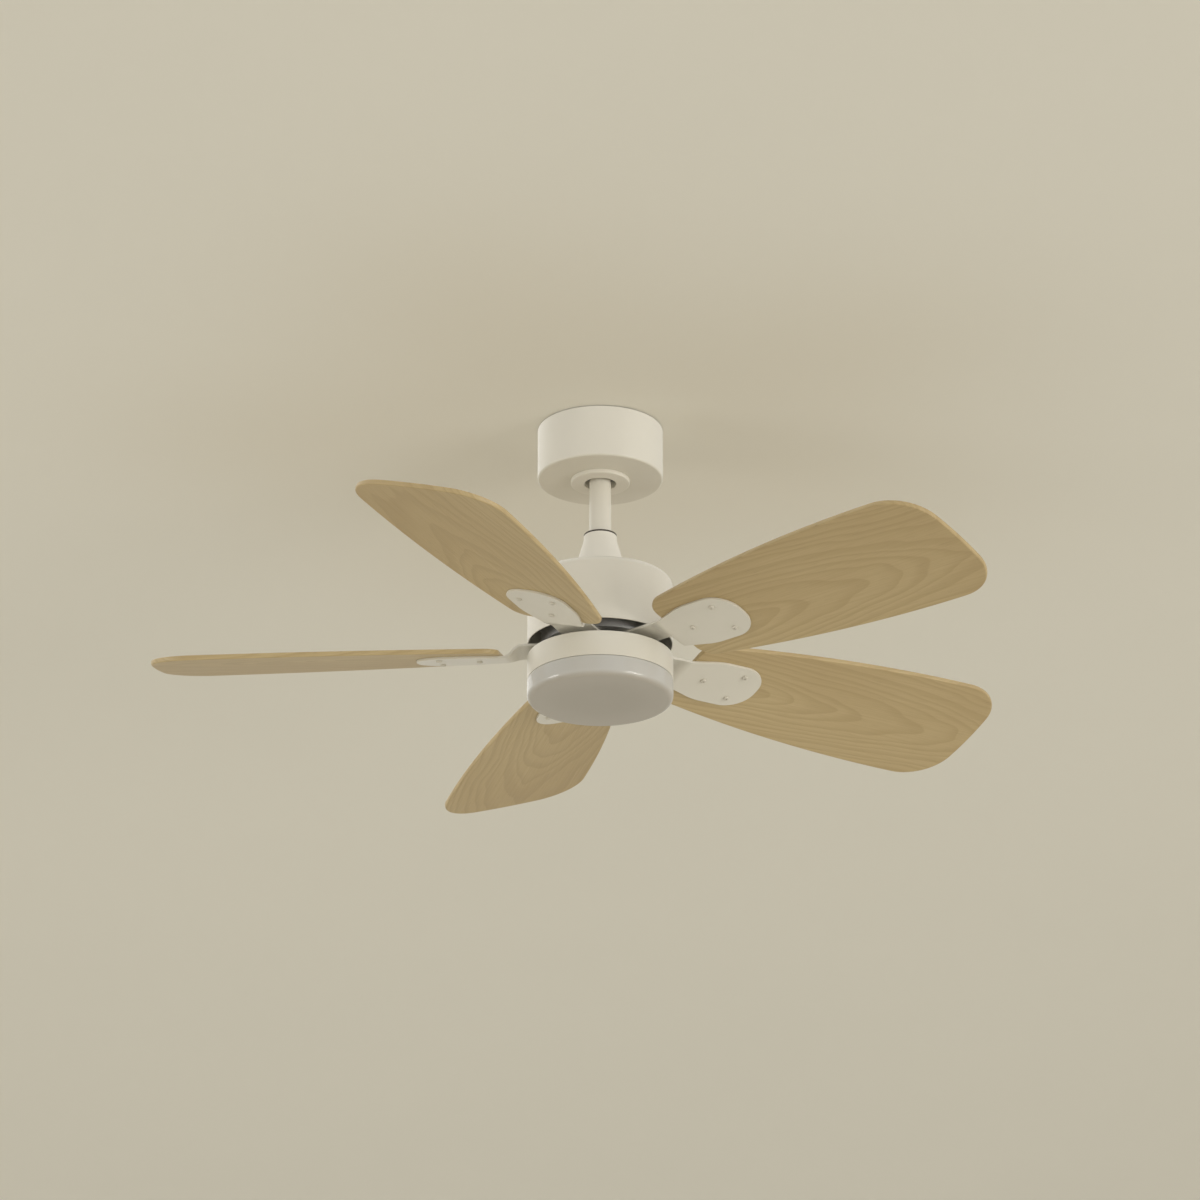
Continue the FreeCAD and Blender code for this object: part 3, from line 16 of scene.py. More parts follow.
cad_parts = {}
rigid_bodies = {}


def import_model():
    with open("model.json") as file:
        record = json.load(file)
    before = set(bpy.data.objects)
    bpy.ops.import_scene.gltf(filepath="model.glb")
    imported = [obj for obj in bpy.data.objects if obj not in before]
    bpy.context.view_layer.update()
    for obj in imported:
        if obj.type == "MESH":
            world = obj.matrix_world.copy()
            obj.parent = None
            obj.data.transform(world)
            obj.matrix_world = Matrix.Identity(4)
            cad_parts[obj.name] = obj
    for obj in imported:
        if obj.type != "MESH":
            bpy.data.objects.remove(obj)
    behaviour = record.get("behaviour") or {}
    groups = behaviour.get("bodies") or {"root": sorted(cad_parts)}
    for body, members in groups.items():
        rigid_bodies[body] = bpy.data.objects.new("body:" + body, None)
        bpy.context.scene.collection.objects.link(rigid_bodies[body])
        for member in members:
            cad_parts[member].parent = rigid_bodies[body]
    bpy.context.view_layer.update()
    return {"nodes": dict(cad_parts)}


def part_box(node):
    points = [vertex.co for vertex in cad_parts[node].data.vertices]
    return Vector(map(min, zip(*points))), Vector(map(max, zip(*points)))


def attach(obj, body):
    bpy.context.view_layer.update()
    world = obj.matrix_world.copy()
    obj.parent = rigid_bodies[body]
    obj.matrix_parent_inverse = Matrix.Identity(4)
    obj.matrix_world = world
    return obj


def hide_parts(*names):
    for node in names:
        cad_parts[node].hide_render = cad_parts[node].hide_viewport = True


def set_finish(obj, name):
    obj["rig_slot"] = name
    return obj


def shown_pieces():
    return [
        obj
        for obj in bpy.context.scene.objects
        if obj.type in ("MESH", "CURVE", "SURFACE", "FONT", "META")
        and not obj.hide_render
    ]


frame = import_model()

solids = frame["nodes"]


# %% [markdown]
# ## Drawing by hand, in code
# Most shells of a fan are turned or pressed round. By hand one would put down a vertex, extrude it
# along half of the section, round the corners and spin the line about the axis. A ready-made cylinder
# would give neither the wall thickness nor the soft edges. These few helpers are those moves.

# %% A vertex to start from, and lines drawn with it
MM = 0.001


def take(piece):
    """Selects one object alone and makes it active."""
    bpy.ops.object.select_all(action="DESELECT")
    bpy.context.view_layer.objects.active = piece
    piece.select_set(True)


def start_line(name, place):
    """Leaves one selected vertex at a place, in edit mode, in a new object at the origin."""
    bpy.ops.object.select_all(action="DESELECT")
    bpy.ops.mesh.primitive_plane_add(size=MM)
    piece = bpy.context.active_object
    piece.name = piece.data.name = name
    bpy.ops.object.mode_set(mode="EDIT")
    bpy.ops.mesh.select_all(action="SELECT")
    bpy.ops.mesh.merge(type="CENTER")
    bpy.ops.transform.translate(value=place)
    return piece


def draw_line(points):
    """Extrudes the selected vertex from the first point through all the others."""
    for here, there in zip(points, points[1:]):
        step = Vector(there) - Vector(here)
        bpy.ops.mesh.extrude_region_move(TRANSFORM_OT_translate={"value": step})


print("line helpers ready")

# %% Selecting by place, and closing a mesh
SELECT_MODES = {"verts": "VERT", "edges": "EDGE", "faces": "FACE"}
SAME_PLACE = 0.002 * MM


def pick(piece, kind, test):
    """Selects only the vertices, edges or faces whose middle answers a test."""
    sheet = bmesh.from_edit_mesh(piece.data)
    bpy.ops.mesh.select_mode(type=SELECT_MODES[kind])
    bpy.ops.mesh.select_all(action="DESELECT")
    for item in getattr(sheet, kind):
        corners = [item] if kind == "verts" else item.verts
        middle = sum((corner.co for corner in corners), Vector()) / len(corners)
        if test(middle, item):
            item.select_set(True)
    sheet.select_flush_mode()
    bmesh.update_edit_mesh(piece.data)


def merge_doubles():
    """Merges vertices that lie on each other, and leaves all selected."""
    bpy.ops.mesh.select_mode(type="VERT")
    bpy.ops.mesh.select_all(action="SELECT")
    bpy.ops.mesh.remove_doubles(threshold=SAME_PLACE)


def close_up():
    """Merges doubled vertices, turns all faces outwards and leaves edit mode."""
    merge_doubles()
    bpy.ops.mesh.normals_make_consistent(inside=False)
    bpy.ops.object.mode_set(mode="OBJECT")


print("mesh helpers ready")

# %% Modifiers, shading, and a piece's place in the fan
SMOOTH_UP_TO = math.radians(32)
FLAT_WEIGHT = 80


def apply_modifier(piece, name, kind, **settings):
    """Adds a modifier with its settings and applies it."""
    take(piece)
    modifier = piece.modifiers.new(name, kind)
    for key, value in settings.items():
        setattr(modifier, key, value)
    bpy.ops.object.modifier_apply(modifier=name)


def settle(piece, body, slot, *nodes):
    """Shades a finished piece, lets it ride on its body and stand for its solids."""
    take(piece)
    bpy.ops.object.shade_smooth_by_angle(angle=SMOOTH_UP_TO)
    apply_modifier(piece, "flat_faces_first", "WEIGHTED_NORMAL", keep_sharp=True, weight=FLAT_WEIGHT)
    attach(piece, body)
    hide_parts(*nodes)
    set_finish(piece, slot)
    size = [round(x / MM, 1) for x in piece.dimensions]
    print(piece.name, len(piece.data.polygons), "faces,", size, "mm")


print("finishing helpers ready")

# %% Turning a section round the fan's axis
TURN_STEPS = 144
CORNER_STEPS = 6
ON_POINT = 0.01 * MM


def turn_round(name, section):
    """Draws a half section of (radius, height, corner round) in mm and spins it about Z."""
    points = [Vector((radius * MM, 0, height * MM)) for radius, height, _ in section]
    piece = start_line(name, points[0])
    has_bore = section[0][0] > 0
    draw_line(points + points[:1] if has_bore else points)
    merge_doubles()
    for point, (_, _, corner) in zip(points, section):
        if corner:
            pick(piece, "verts", lambda middle, _: (middle - point).length < ON_POINT)
            bpy.ops.mesh.bevel(offset=corner * MM, affect="VERTICES", segments=CORNER_STEPS)
    bpy.ops.mesh.select_all(action="SELECT")
    bpy.ops.mesh.spin(steps=TURN_STEPS, angle=2 * math.pi, center=(0, 0, 0), axis=(0, 0, 1))
    close_up()
    return piece


print("sections turn in", TURN_STEPS, "steps")

# %% [markdown]
# ## Main sizes
# The solids already have the right heights and radii. They could be typed in again, but read from the
# frame they can't disagree with it, and each shell stays where its solid is. A solid's mesh has flat
# facets and may be a little short, so a size is taken to the nearest twentieth of a millimetre. A section
# is drawn from the axis, so holes are given by their radius too.

# %% Heights and radii in mm, from the frame
NEAREST = 0.05


def reach_of(node):
    """A solid's lowest and highest height, and its reach along X (a round solid's radius), in mm."""
    low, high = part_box(node)
    return [round(size / MM / NEAREST) * NEAREST for size in (low.z, high.z, high.x)]


CANOPY_FLOOR, CANOPY_TOP, CANOPY_RADIUS = reach_of("canopy")
RING_BOTTOM, RING_TOP, RING_RADIUS = reach_of("canopy_ring")
ROD_END, ROD_TOP, ROD_RADIUS = reach_of("downrod")
COVER_TOP, SEAL_TOP, NECK_RADIUS = reach_of("cover_seal")
DRUM_BOTTOM, DRUM_TOP, DRUM_RADIUS = reach_of("motor_housing")
COVER_RADIUS = reach_of("coupling_cover")[2]
SEAM, BAND_TOP, BAND_RADIUS = reach_of("light_housing")
LIGHT_BOTTOM = reach_of("diffuser")[0]
print("ceiling to light", -LIGHT_BOTTOM, "mm, radius of canopy and drum", CANOPY_RADIUS, DRUM_RADIUS, "mm")

# %% [markdown]
# ## Canopy and ring
# The canopy is a cup of thin sheet metal against the ceiling. Its lower edge is drawn over a small
# radius. Below it a snap ring hides the two screws and leaves a wide hole, so that the rod can swing.
# Both are turned shells with a real wall, because the hole lets one look inside.

# %% Canopy cup
CANOPY_WALL, CANOPY_ROUND, SWING_HOLE = 1.2, 2.5, 22
canopy_inside, canopy_floor_inside = CANOPY_RADIUS - CANOPY_WALL, CANOPY_FLOOR + CANOPY_WALL
canopy = turn_round("canopy_shell", [
    (SWING_HOLE, CANOPY_FLOOR, 0.3), (CANOPY_RADIUS, CANOPY_FLOOR, CANOPY_ROUND),
    (CANOPY_RADIUS, CANOPY_TOP, 0.4), (canopy_inside, CANOPY_TOP, 0.4),
    (canopy_inside, canopy_floor_inside, CANOPY_ROUND - CANOPY_WALL),
    (SWING_HOLE, canopy_floor_inside, 0.3)])
settle(canopy, "ceiling_mount", "white_paint", "canopy")

# %% Snap ring
RING_WALL, RING_HOLE, CATCH, CLEARANCE, SEAT_GAP = 2, 19, 0.8, 0.1, 0.02
ring_inside, ring_floor = RING_RADIUS - RING_WALL, RING_BOTTOM + RING_WALL
ring_seat = CANOPY_FLOOR - SEAT_GAP
ring_neck, catch_height = SWING_HOLE - CLEARANCE, canopy_floor_inside + CLEARANCE
ring = turn_round("canopy_snap_ring", [
    (RING_HOLE, RING_BOTTOM, 0.7), (RING_RADIUS, RING_BOTTOM, 1.3), (RING_RADIUS, ring_seat, 0.3),
    (ring_inside, ring_seat, 0.3), (ring_inside, ring_floor, 0.6), (ring_neck, ring_floor, 0.5),
    (ring_neck, catch_height, 0), (ring_neck + CATCH, catch_height, 0.2), (ring_neck, RING_TOP, 0.2),
    (RING_HOLE, RING_TOP, 0.5)])
settle(ring, "ceiling_mount", "white_plastic", "canopy_ring")

# %% [markdown]
# ## Rod, cover and seal
# The rod is a painted steel tube. Where it meets the motor a flared cover hides the yoke and its pin,
# and a dark rubber seal lies on the cover's neck. The cover's flare is a soft curve, so its section
# gets a large round at the waist instead of a sharp bend.

# %% Rod tube
ROD_WALL = 2
rod_bore = ROD_RADIUS - ROD_WALL
rod = turn_round("hanging_rod", [
    (rod_bore, ROD_END, 0.3), (ROD_RADIUS, ROD_END, 0.5), (ROD_RADIUS, ROD_TOP, 0.5),
    (rod_bore, ROD_TOP, 0.3)])
settle(rod, "hung_fan", "white_paint", "downrod")

# %% Flared cover
COVER_WALL, ROD_HOLE, RIM_HEIGHT, NECK_HEIGHT, WAIST_ROUND = 1.5, 13.6, 4, 6, 4
foot_rim, waist = DRUM_TOP + RIM_HEIGHT, COVER_TOP - NECK_HEIGHT
cover_inside, neck_inside = COVER_RADIUS - COVER_WALL, NECK_RADIUS - COVER_WALL
neck_roof = COVER_TOP - COVER_WALL
cover = turn_round("yoke_cover", [
    (COVER_RADIUS, DRUM_TOP, 0.4), (COVER_RADIUS, foot_rim, 2.2), (NECK_RADIUS, waist, WAIST_ROUND),
    (NECK_RADIUS, COVER_TOP, 0.5), (ROD_HOLE, COVER_TOP, 0.2), (ROD_HOLE, neck_roof, 0),
    (neck_inside, neck_roof, 0.6), (neck_inside, waist, WAIST_ROUND), (cover_inside, foot_rim, 1.5),
    (cover_inside, DRUM_TOP, 0.4)])
settle(cover, "hung_fan", "white_plastic", "coupling_cover")

# %% Rubber seal with a shallow groove
SEAL_GROOVE_LIFT, SEAL_GROOVE_HALF, SEAL_GROOVE_DEPTH = 0.85, 0.25, 0.4
groove_height = COVER_TOP + SEAL_GROOVE_LIFT
seal = turn_round("neck_seal", [
    (ROD_HOLE, COVER_TOP, 0.2), (NECK_RADIUS, COVER_TOP, 0.4),
    (NECK_RADIUS, groove_height - SEAL_GROOVE_HALF, 0),
    (NECK_RADIUS - SEAL_GROOVE_DEPTH, groove_height, 0.1),
    (NECK_RADIUS, groove_height + SEAL_GROOVE_HALF, 0),
    (NECK_RADIUS, SEAL_TOP, 0.5), (ROD_HOLE, SEAL_TOP, 0.4)])
settle(seal, "hung_fan", "dark_rubber", "cover_seal")

# %% [markdown]
# ## Motor drum
# The drum is a deep pressed cup with twelve vents on top. A vent is a slot with round ends. One cutter
# is modelled flat, its corners are rounded, and it is spun round the axis as twelve copies. A Boolean
# modifier then cuts them all at once, which keeps the wall's thickness in every slot.

# %% Drum cup
DRUM_WALL, DRUM_ROUND, YOKE_HOLE = 1.5, 8, 17.7
drum_inside, drum_roof = DRUM_RADIUS - DRUM_WALL, DRUM_TOP - DRUM_WALL
drum = turn_round("motor_drum", [
    (YOKE_HOLE, drum_roof, 0.2), (drum_inside, drum_roof, DRUM_ROUND - DRUM_WALL),
    (drum_inside, DRUM_BOTTOM, 0.4), (DRUM_RADIUS, DRUM_BOTTOM, 0.6), (DRUM_RADIUS, DRUM_TOP, DRUM_ROUND),
    (YOKE_HOLE, DRUM_TOP, 0.2)])
print("drum cup", len(drum.data.polygons), "faces")

# %% Vents cut through the top
VENT_COUNT, VENT_STEPS, ROUND_SHARE, CUT_ABOVE = 12, 8, 0.98, 5
vent_inner, vent_outer, vent_width, cut_depth = 44 * MM, 70 * MM, 5 * MM, 12 * MM
# The round stays a little under half the width, so that the two corners of an end don't meet.
vent_round, cut_from = ROUND_SHARE * vent_width / 2, (DRUM_TOP + CUT_ABOVE) * MM
bpy.ops.object.select_all(action="DESELECT")
bpy.ops.mesh.primitive_plane_add(size=1)
vents = bpy.context.active_object
vents.name = "vent_cutters"
bpy.ops.object.mode_set(mode="EDIT")
bpy.ops.transform.resize(value=(vent_outer - vent_inner, vent_width, 1))
bpy.ops.transform.translate(value=((vent_inner + vent_outer) / 2, 0, cut_from))
bpy.ops.mesh.bevel(offset=vent_round, affect="VERTICES", segments=VENT_STEPS)
bpy.ops.mesh.select_all(action="SELECT")
bpy.ops.mesh.extrude_region_move(TRANSFORM_OT_translate={"value": (0, 0, -cut_depth)})
bpy.ops.mesh.select_all(action="SELECT")
bpy.ops.mesh.normals_make_consistent(inside=False)
bpy.ops.mesh.spin(steps=VENT_COUNT, angle=2 * math.pi, dupli=True, center=(0, 0, 0), axis=(0, 0, 1))
close_up()
apply_modifier(drum, "vent_slots", "BOOLEAN", operation="DIFFERENCE", object=vents, solver="EXACT")
bpy.data.objects.remove(vents)
settle(drum, "hung_fan", "white_paint", "motor_housing")

# %% [markdown]
# ## Light band and diffuser
# The lower drum holds the light. A painted band carries the board on four posts, and an opal cup snaps
# into it. The fine line between them is a real groove: the edges stop short of each other, are broken
# by a small chamfer, and the cup's neck behind them stays in the shade.

# %% Band with its posts
BAND_WALL, SHAFT_HOLE = 1.5, 6.1
POST_COUNT, POST_SIDES, POST_RADIUS, POST_LENGTH, POST_REACH = 4, 32, 4, 22.5, 60
GROOVE_HALF, CHAMFER = 0.35, 0.3
band_edge = SEAM + GROOVE_HALF
band_inside, band_roof = BAND_RADIUS - BAND_WALL, BAND_TOP - BAND_WALL
band = turn_round("light_band", [
    (SHAFT_HOLE, band_roof, 0.1), (band_inside, band_roof, 0.5), (band_inside, band_edge, 0.1),
    (BAND_RADIUS - CHAMFER, band_edge, 0), (BAND_RADIUS, band_edge + CHAMFER, 0.1),
    (BAND_RADIUS, BAND_TOP, 1.5), (SHAFT_HOLE, BAND_TOP, 0.1)])
bpy.ops.object.mode_set(mode="EDIT")
bpy.ops.mesh.select_all(action="DESELECT")
bpy.ops.mesh.primitive_cylinder_add(
    vertices=POST_SIDES, radius=POST_RADIUS * MM, depth=POST_LENGTH * MM,
    location=(POST_REACH * MM, 0, (band_roof - POST_LENGTH / 2) * MM))
bpy.ops.mesh.spin(steps=POST_COUNT, angle=2 * math.pi, dupli=True, center=(0, 0, 0), axis=(0, 0, 1))
close_up()
settle(band, "hung_fan", "white_paint", "light_housing")

# %% Opal cup
CUP_WALL, CUP_ROUND, CUP_NECK = 2, 7, 8
cup_edge, cup_neck = SEAM - GROOVE_HALF, band_inside - CLEARANCE
cup_inside, cup_floor, neck_top = cup_neck - CUP_WALL, LIGHT_BOTTOM + CUP_WALL, SEAM + CUP_NECK
opal_cup = turn_round("opal_diffuser", [
    (0, LIGHT_BOTTOM, 0), (BAND_RADIUS, LIGHT_BOTTOM, CUP_ROUND), (BAND_RADIUS, cup_edge - CHAMFER, 0.1),
    (BAND_RADIUS - CHAMFER, cup_edge, 0), (cup_neck, cup_edge, 0), (cup_neck, neck_top, 0.4),
    (cup_inside, neck_top, 0.4), (cup_inside, cup_floor, CUP_ROUND - CUP_WALL), (0, cup_floor, 0)])
settle(opal_cup, "hung_fan", "opal", "diffuser")

# %% [markdown]
# ## Blades
# Each blade is a flat board, about 6 mm thick, that widens outwards and ends on the swept circle. Its
# outline is seven arcs that run into each other: two root corners, two bowed sides, two tip corners
# and the tip. A vertex is swung about one centre after another, the outline is filled and extruded,
# and the rim is rounded. One blade is made flat. Five copies are then tilted and turned to their places.

# %% Centres of the blade's arcs
SWEEP_RADIUS = 533.5 * MM
root_x, root_half = 117 * MM, 56 * MM
# The sides would meet the tip's line a little outside the swept circle, before it is rounded.
beyond_sweep, tip_half = 5 * MM, 92 * MM
tip_x = SWEEP_RADIUS + beyond_sweep
bow, root_round, tip_round = 13 * MM, 24 * MM, 56 * MM
fan_axis = Vector((0, 0))
root_corner, tip_corner = Vector((root_x, -root_half)), Vector((tip_x, -tip_half))
chord = tip_corner - root_corner
outward = Vector((chord.y, -chord.x)).normalized()
side_radius = chord.length_squared / (8 * bow) + bow / 2
side_centre = (root_corner + tip_corner) / 2 + outward * (bow - side_radius)


def meeting_point(centre_a, radius_a, centre_b, radius_b):
    """Where two circles meet, on the right of the way from the first centre to the second."""
    way = centre_b - centre_a
    along = (way.length_squared + radius_a ** 2 - radius_b ** 2) / (2 * way.length)
    aside = math.sqrt(radius_a ** 2 - along ** 2)
    unit = way.normalized()
    return centre_a + unit * along + Vector((unit.y, -unit.x)) * aside


root_rise = math.sqrt((side_radius - root_round) ** 2 - (root_x + root_round - side_centre.x) ** 2)
root_centre = Vector((root_x + root_round, side_centre.y - root_rise))
tip_centre = meeting_point(fan_axis, SWEEP_RADIUS - tip_round, side_centre, side_radius - tip_round)
print("side radius", round(side_radius, 3), "m, corner centres", tuple(root_centre), tuple(tip_centre))

# %% Outline, one half and then the other


def touch(big_centre, big_radius, small_centre):
    """Where a circle touches a bigger one from inside."""
    return big_centre + (small_centre - big_centre).normalized() * big_radius


def swing(here, there, centre, steps):
    """Swings the selected vertex about a centre, from one point to another."""
    begin, end = here - centre, there - centre
    angle = math.atan2(begin.cross(end), begin.dot(end))
    # Spin turns clockwise about its axis, so the axis points down.
    bpy.ops.mesh.spin(steps=steps, angle=angle, center=(*centre, 0), axis=(0, 0, -1))


def mirrored(point):
    """The same point on the other half of the blade."""
    return Vector((point.x, -point.y))


stops = [Vector((root_x, root_centre.y)), touch(side_centre, side_radius, root_centre),
         touch(side_centre, side_radius, tip_centre), touch(fan_axis, SWEEP_RADIUS, tip_centre)]
stops += [mirrored(stop) for stop in reversed(stops)]
centres = [root_centre, side_centre, tip_centre]
centres += [fan_axis] + [mirrored(centre) for centre in reversed(centres)]
arc_steps = [8, 28, 14, 10, 14, 28, 8]
board = start_line("blade_board", (*stops[0], 0))
for here, there, centre, steps in zip(stops, stops[1:], centres, arc_steps):
    swing(here, there, centre, steps)
bpy.ops.mesh.select_all(action="SELECT")
bpy.ops.mesh.edge_face_add()
print("blade outline", len(bmesh.from_edit_mesh(board.data).verts), "points")

# %% Thickness and round rim
BLADE_THICK, RIM_ROUND, RIM_STEPS, FLAT_BORDER = 6 * MM, 1.8 * MM, 5, 1.5 * MM
FACET_CORNERS = 8
bpy.ops.mesh.select_all(action="SELECT")
bpy.ops.mesh.extrude_region_move(TRANSFORM_OT_translate={"value": (0, 0, BLADE_THICK)})
close_up()
bpy.ops.object.mode_set(mode="EDIT")
pick(board, "edges", lambda _, edge: abs(edge.verts[0].co.z - edge.verts[1].co.z) < BLADE_THICK / 2)
bpy.ops.mesh.bevel(offset=RIM_ROUND, affect="EDGES", segments=RIM_STEPS)
# Only the two flat sides have more corners than a facet of the rim.
pick(board, "faces", lambda _, face: len(face.verts) > FACET_CORNERS)
bpy.ops.mesh.inset(thickness=FLAT_BORDER)
close_up()
print("board", [round(x / MM, 1) for x in board.dimensions], "mm,", len(board.data.polygons), "faces")

# %% Grain coordinates
grain = board.data.uv_layers.new(name="grain")
for corner in board.data.loops:
    spot = board.data.vertices[corner.vertex_index].co
    grain.data[corner.index].uv = (spot.x, spot.y + spot.z)
print("grain map on", len(board.data.loops), "corners")

# %% Where the blades sit
BLADE_COUNT, FIRST_ANGLE, PITCH = 5, math.radians(31), math.radians(16)
IRON_THICK = 3 * MM
iron_low, iron_high, _ = reach_of("blade_iron_1")
tongue_height = (iron_low + iron_high) / 2 * MM
tilt = Matrix.Translation((0, 0, tongue_height)) @ Matrix.Rotation(-PITCH, 4, "X")


def turned_to(number):
    """The turn about the fan's axis that brings a piece to its blade's angle."""
    return Matrix.Rotation(FIRST_ANGLE + number * 2 * math.pi / BLADE_COUNT, 4, "Z")


def place_copy(piece, name, placing):
    """A copy with its own mesh, with its place applied to it."""
    copy = piece.copy()
    copy.data = piece.data.copy()
    copy.name = copy.data.name = name
    bpy.context.scene.collection.objects.link(copy)
    copy.matrix_world = placing
    take(copy)
    bpy.ops.object.transform_apply(location=True, rotation=True, scale=True)
    return copy


print("blades on tongues at", round(tongue_height, 4), "m, pitch", round(math.degrees(PITCH)), "degrees")

# %% Five blades, tilted and turned
# Each blade is cut from another stretch of veneer, so its grain map is shifted.
GRAIN_SHIFTS = [(0, 0), (0.16, 0.02), (-0.07, -0.03), (0.27, 0.035), (0.08, -0.014)]
on_tongue = tilt @ Matrix.Translation((0, 0, IRON_THICK / 2))
for number, shift in enumerate(GRAIN_SHIFTS):
    blade = place_copy(board, f"wooden_blade_{number + 1}", turned_to(number) @ on_tongue)
    for corner in blade.data.uv_layers["grain"].data:
        corner.uv += Vector(shift)
    settle(blade, "rotor", "blade_wood", f"blade_{number + 1}")
bpy.data.objects.remove(board)

# %% [markdown]
# ## Blade irons
# An iron is one strip of sheet metal. Its foot lies level under the rotor, its neck drops and twists,
# and its tongue lies flat under the tilted blade. Foot and tongue are drawn as two flat faces. Bridging
# their facing edges with a few cuts makes the twisted neck, and Solidify gives the sheet its thickness.

# %% Foot as a flat face
foot_in, foot_out, foot_half = 46 * MM, 92 * MM, 22 * MM
foot_round, foot_steps = 5 * MM, 5
foot_height = reach_of("rotor_bottom_shell")[0] * MM - IRON_THICK / 2
foot_corners = [(foot_in, -foot_half, foot_height), (foot_out, -foot_half, foot_height),
                (foot_out, foot_half, foot_height), (foot_in, foot_half, foot_height)]
iron = start_line("iron_strip", foot_corners[0])
draw_line(foot_corners)
bpy.ops.mesh.select_all(action="SELECT")
bpy.ops.mesh.edge_face_add()
pick(iron, "verts", lambda middle, _: middle.x < foot_in + MM)
bpy.ops.mesh.bevel(offset=foot_round, affect="VERTICES", segments=foot_steps)
print("iron foot at", round(foot_height, 4), "m")

# %% Tongue as a flat face
tongue_in, tongue_wide, tongue_out = 114 * MM, 150 * MM, 219 * MM
tongue_root_half, tongue_half = 27 * MM, 38 * MM
tongue_round, tongue_steps = 34.2 * MM, 12
shoulder_round, shoulder_steps = 10 * MM, 6
bpy.ops.mesh.select_all(action="DESELECT")
bpy.ops.mesh.primitive_plane_add(size=MM)
bpy.ops.mesh.merge(type="CENTER")
tongue_half_line = [(tongue_in, tongue_root_half), (tongue_wide, tongue_half), (tongue_out, tongue_half)]
tongue_line = [(x, -y) for x, y in tongue_half_line] + tongue_half_line[::-1]
tongue_corners = [tilt @ Vector((x, y, 0)) for x, y in tongue_line]
bpy.ops.transform.translate(value=tongue_corners[0])
draw_line(tongue_corners)
bpy.ops.mesh.select_linked(delimit=set())
bpy.ops.mesh.edge_face_add()
pick(iron, "verts", lambda middle, _: abs(middle.x - tongue_out) < MM)
bpy.ops.mesh.bevel(offset=tongue_round, affect="VERTICES", segments=tongue_steps)
pick(iron, "verts", lambda middle, _: abs(middle.x - tongue_wide) < MM)
bpy.ops.mesh.bevel(offset=shoulder_round, affect="VERTICES", segments=shoulder_steps)
print("iron faces", len(bmesh.from_edit_mesh(iron.data).faces))

# %% Twisted neck, thickness and soft edges
NECK_CUTS = 10
EDGE_BREAK, EDGE_STEPS, EDGE_ANGLE = 0.5 * MM, 3, math.radians(50)


def at_neck(vertex):
    """Whether a vertex lies on one of the two edges that the neck joins."""
    return min(abs(vertex.co.x - foot_out), abs(vertex.co.x - tongue_in)) < ON_POINT


pick(iron, "edges", lambda _, edge: all(at_neck(vertex) for vertex in edge.verts))
bpy.ops.mesh.bridge_edge_loops(number_cuts=NECK_CUTS, interpolation="SURFACE", smoothness=1.0)
close_up()
apply_modifier(iron, "sheet_thickness", "SOLIDIFY", thickness=IRON_THICK, offset=0, use_even_offset=True)
apply_modifier(iron, "broken_edges", "BEVEL", width=EDGE_BREAK, segments=EDGE_STEPS, limit_method="ANGLE",
               angle_limit=EDGE_ANGLE)
for number in range(BLADE_COUNT):
    strip = place_copy(iron, f"blade_iron_strip_{number + 1}", turned_to(number))
    settle(strip, "rotor", "white_paint", f"blade_iron_{number + 1}")
bpy.data.objects.remove(iron)

# %% [markdown]
# ## Blade screws
# Three pan-head screws hold each blade from below. The head is turned from a half section, and two
# crossed bars cut the drive recess. The finished screw is copied to all fifteen holes and joined into
# one piece, because the solids keep all blade screws in one node as well.

# %% One screw, head down
HEAD_RADIUS, HEAD_HEIGHT, SHANK_RADIUS, SHANK_LENGTH = 3.5, 2.4, 2, 7.5
RECESS_LENGTH, RECESS_WIDTH, BAR_HEIGHT = 4.2 * MM, 0.9 * MM, 2.4 * MM
RECESS_TAPER, BAR_PROUD, FACING_UP = (0.45, 0.8, 1), 0.1, 0.9
screw = turn_round("blade_screw", [
    (0, -HEAD_HEIGHT, 0), (HEAD_RADIUS, -HEAD_HEIGHT, 1.3), (HEAD_RADIUS, 0, 0.2), (SHANK_RADIUS, 0, 0),
    (SHANK_RADIUS, SHANK_LENGTH, 0.4), (0, SHANK_LENGTH, 0)])
bpy.ops.object.select_all(action="DESELECT")
bpy.ops.mesh.primitive_cube_add(size=1)
bars = bpy.context.active_object
bars.name = "recess_bars"
bpy.ops.object.mode_set(mode="EDIT")
bpy.ops.transform.resize(value=(RECESS_LENGTH, RECESS_WIDTH, BAR_HEIGHT))
bpy.ops.transform.translate(value=(0, 0, -(HEAD_HEIGHT + BAR_PROUD) * MM))
pick(bars, "faces", lambda _, face: face.normal.z > FACING_UP)
bpy.ops.transform.resize(value=RECESS_TAPER)
bpy.ops.mesh.select_all(action="SELECT")
bpy.ops.mesh.spin(steps=1, angle=math.pi / 2, dupli=True, center=(0, 0, 0), axis=(0, 0, 1))
bpy.ops.object.mode_set(mode="OBJECT")
apply_modifier(screw, "drive_recess", "BOOLEAN", operation="DIFFERENCE", object=bars, solver="EXACT",
               use_self=True)
bpy.data.objects.remove(bars)
print("screw", [round(x / MM, 1) for x in screw.dimensions], "mm,", len(screw.data.polygons), "faces")

# %% Fifteen screws in one piece
screw_places = [(144 * MM, 0), (190 * MM, 22 * MM), (190 * MM, -22 * MM)]
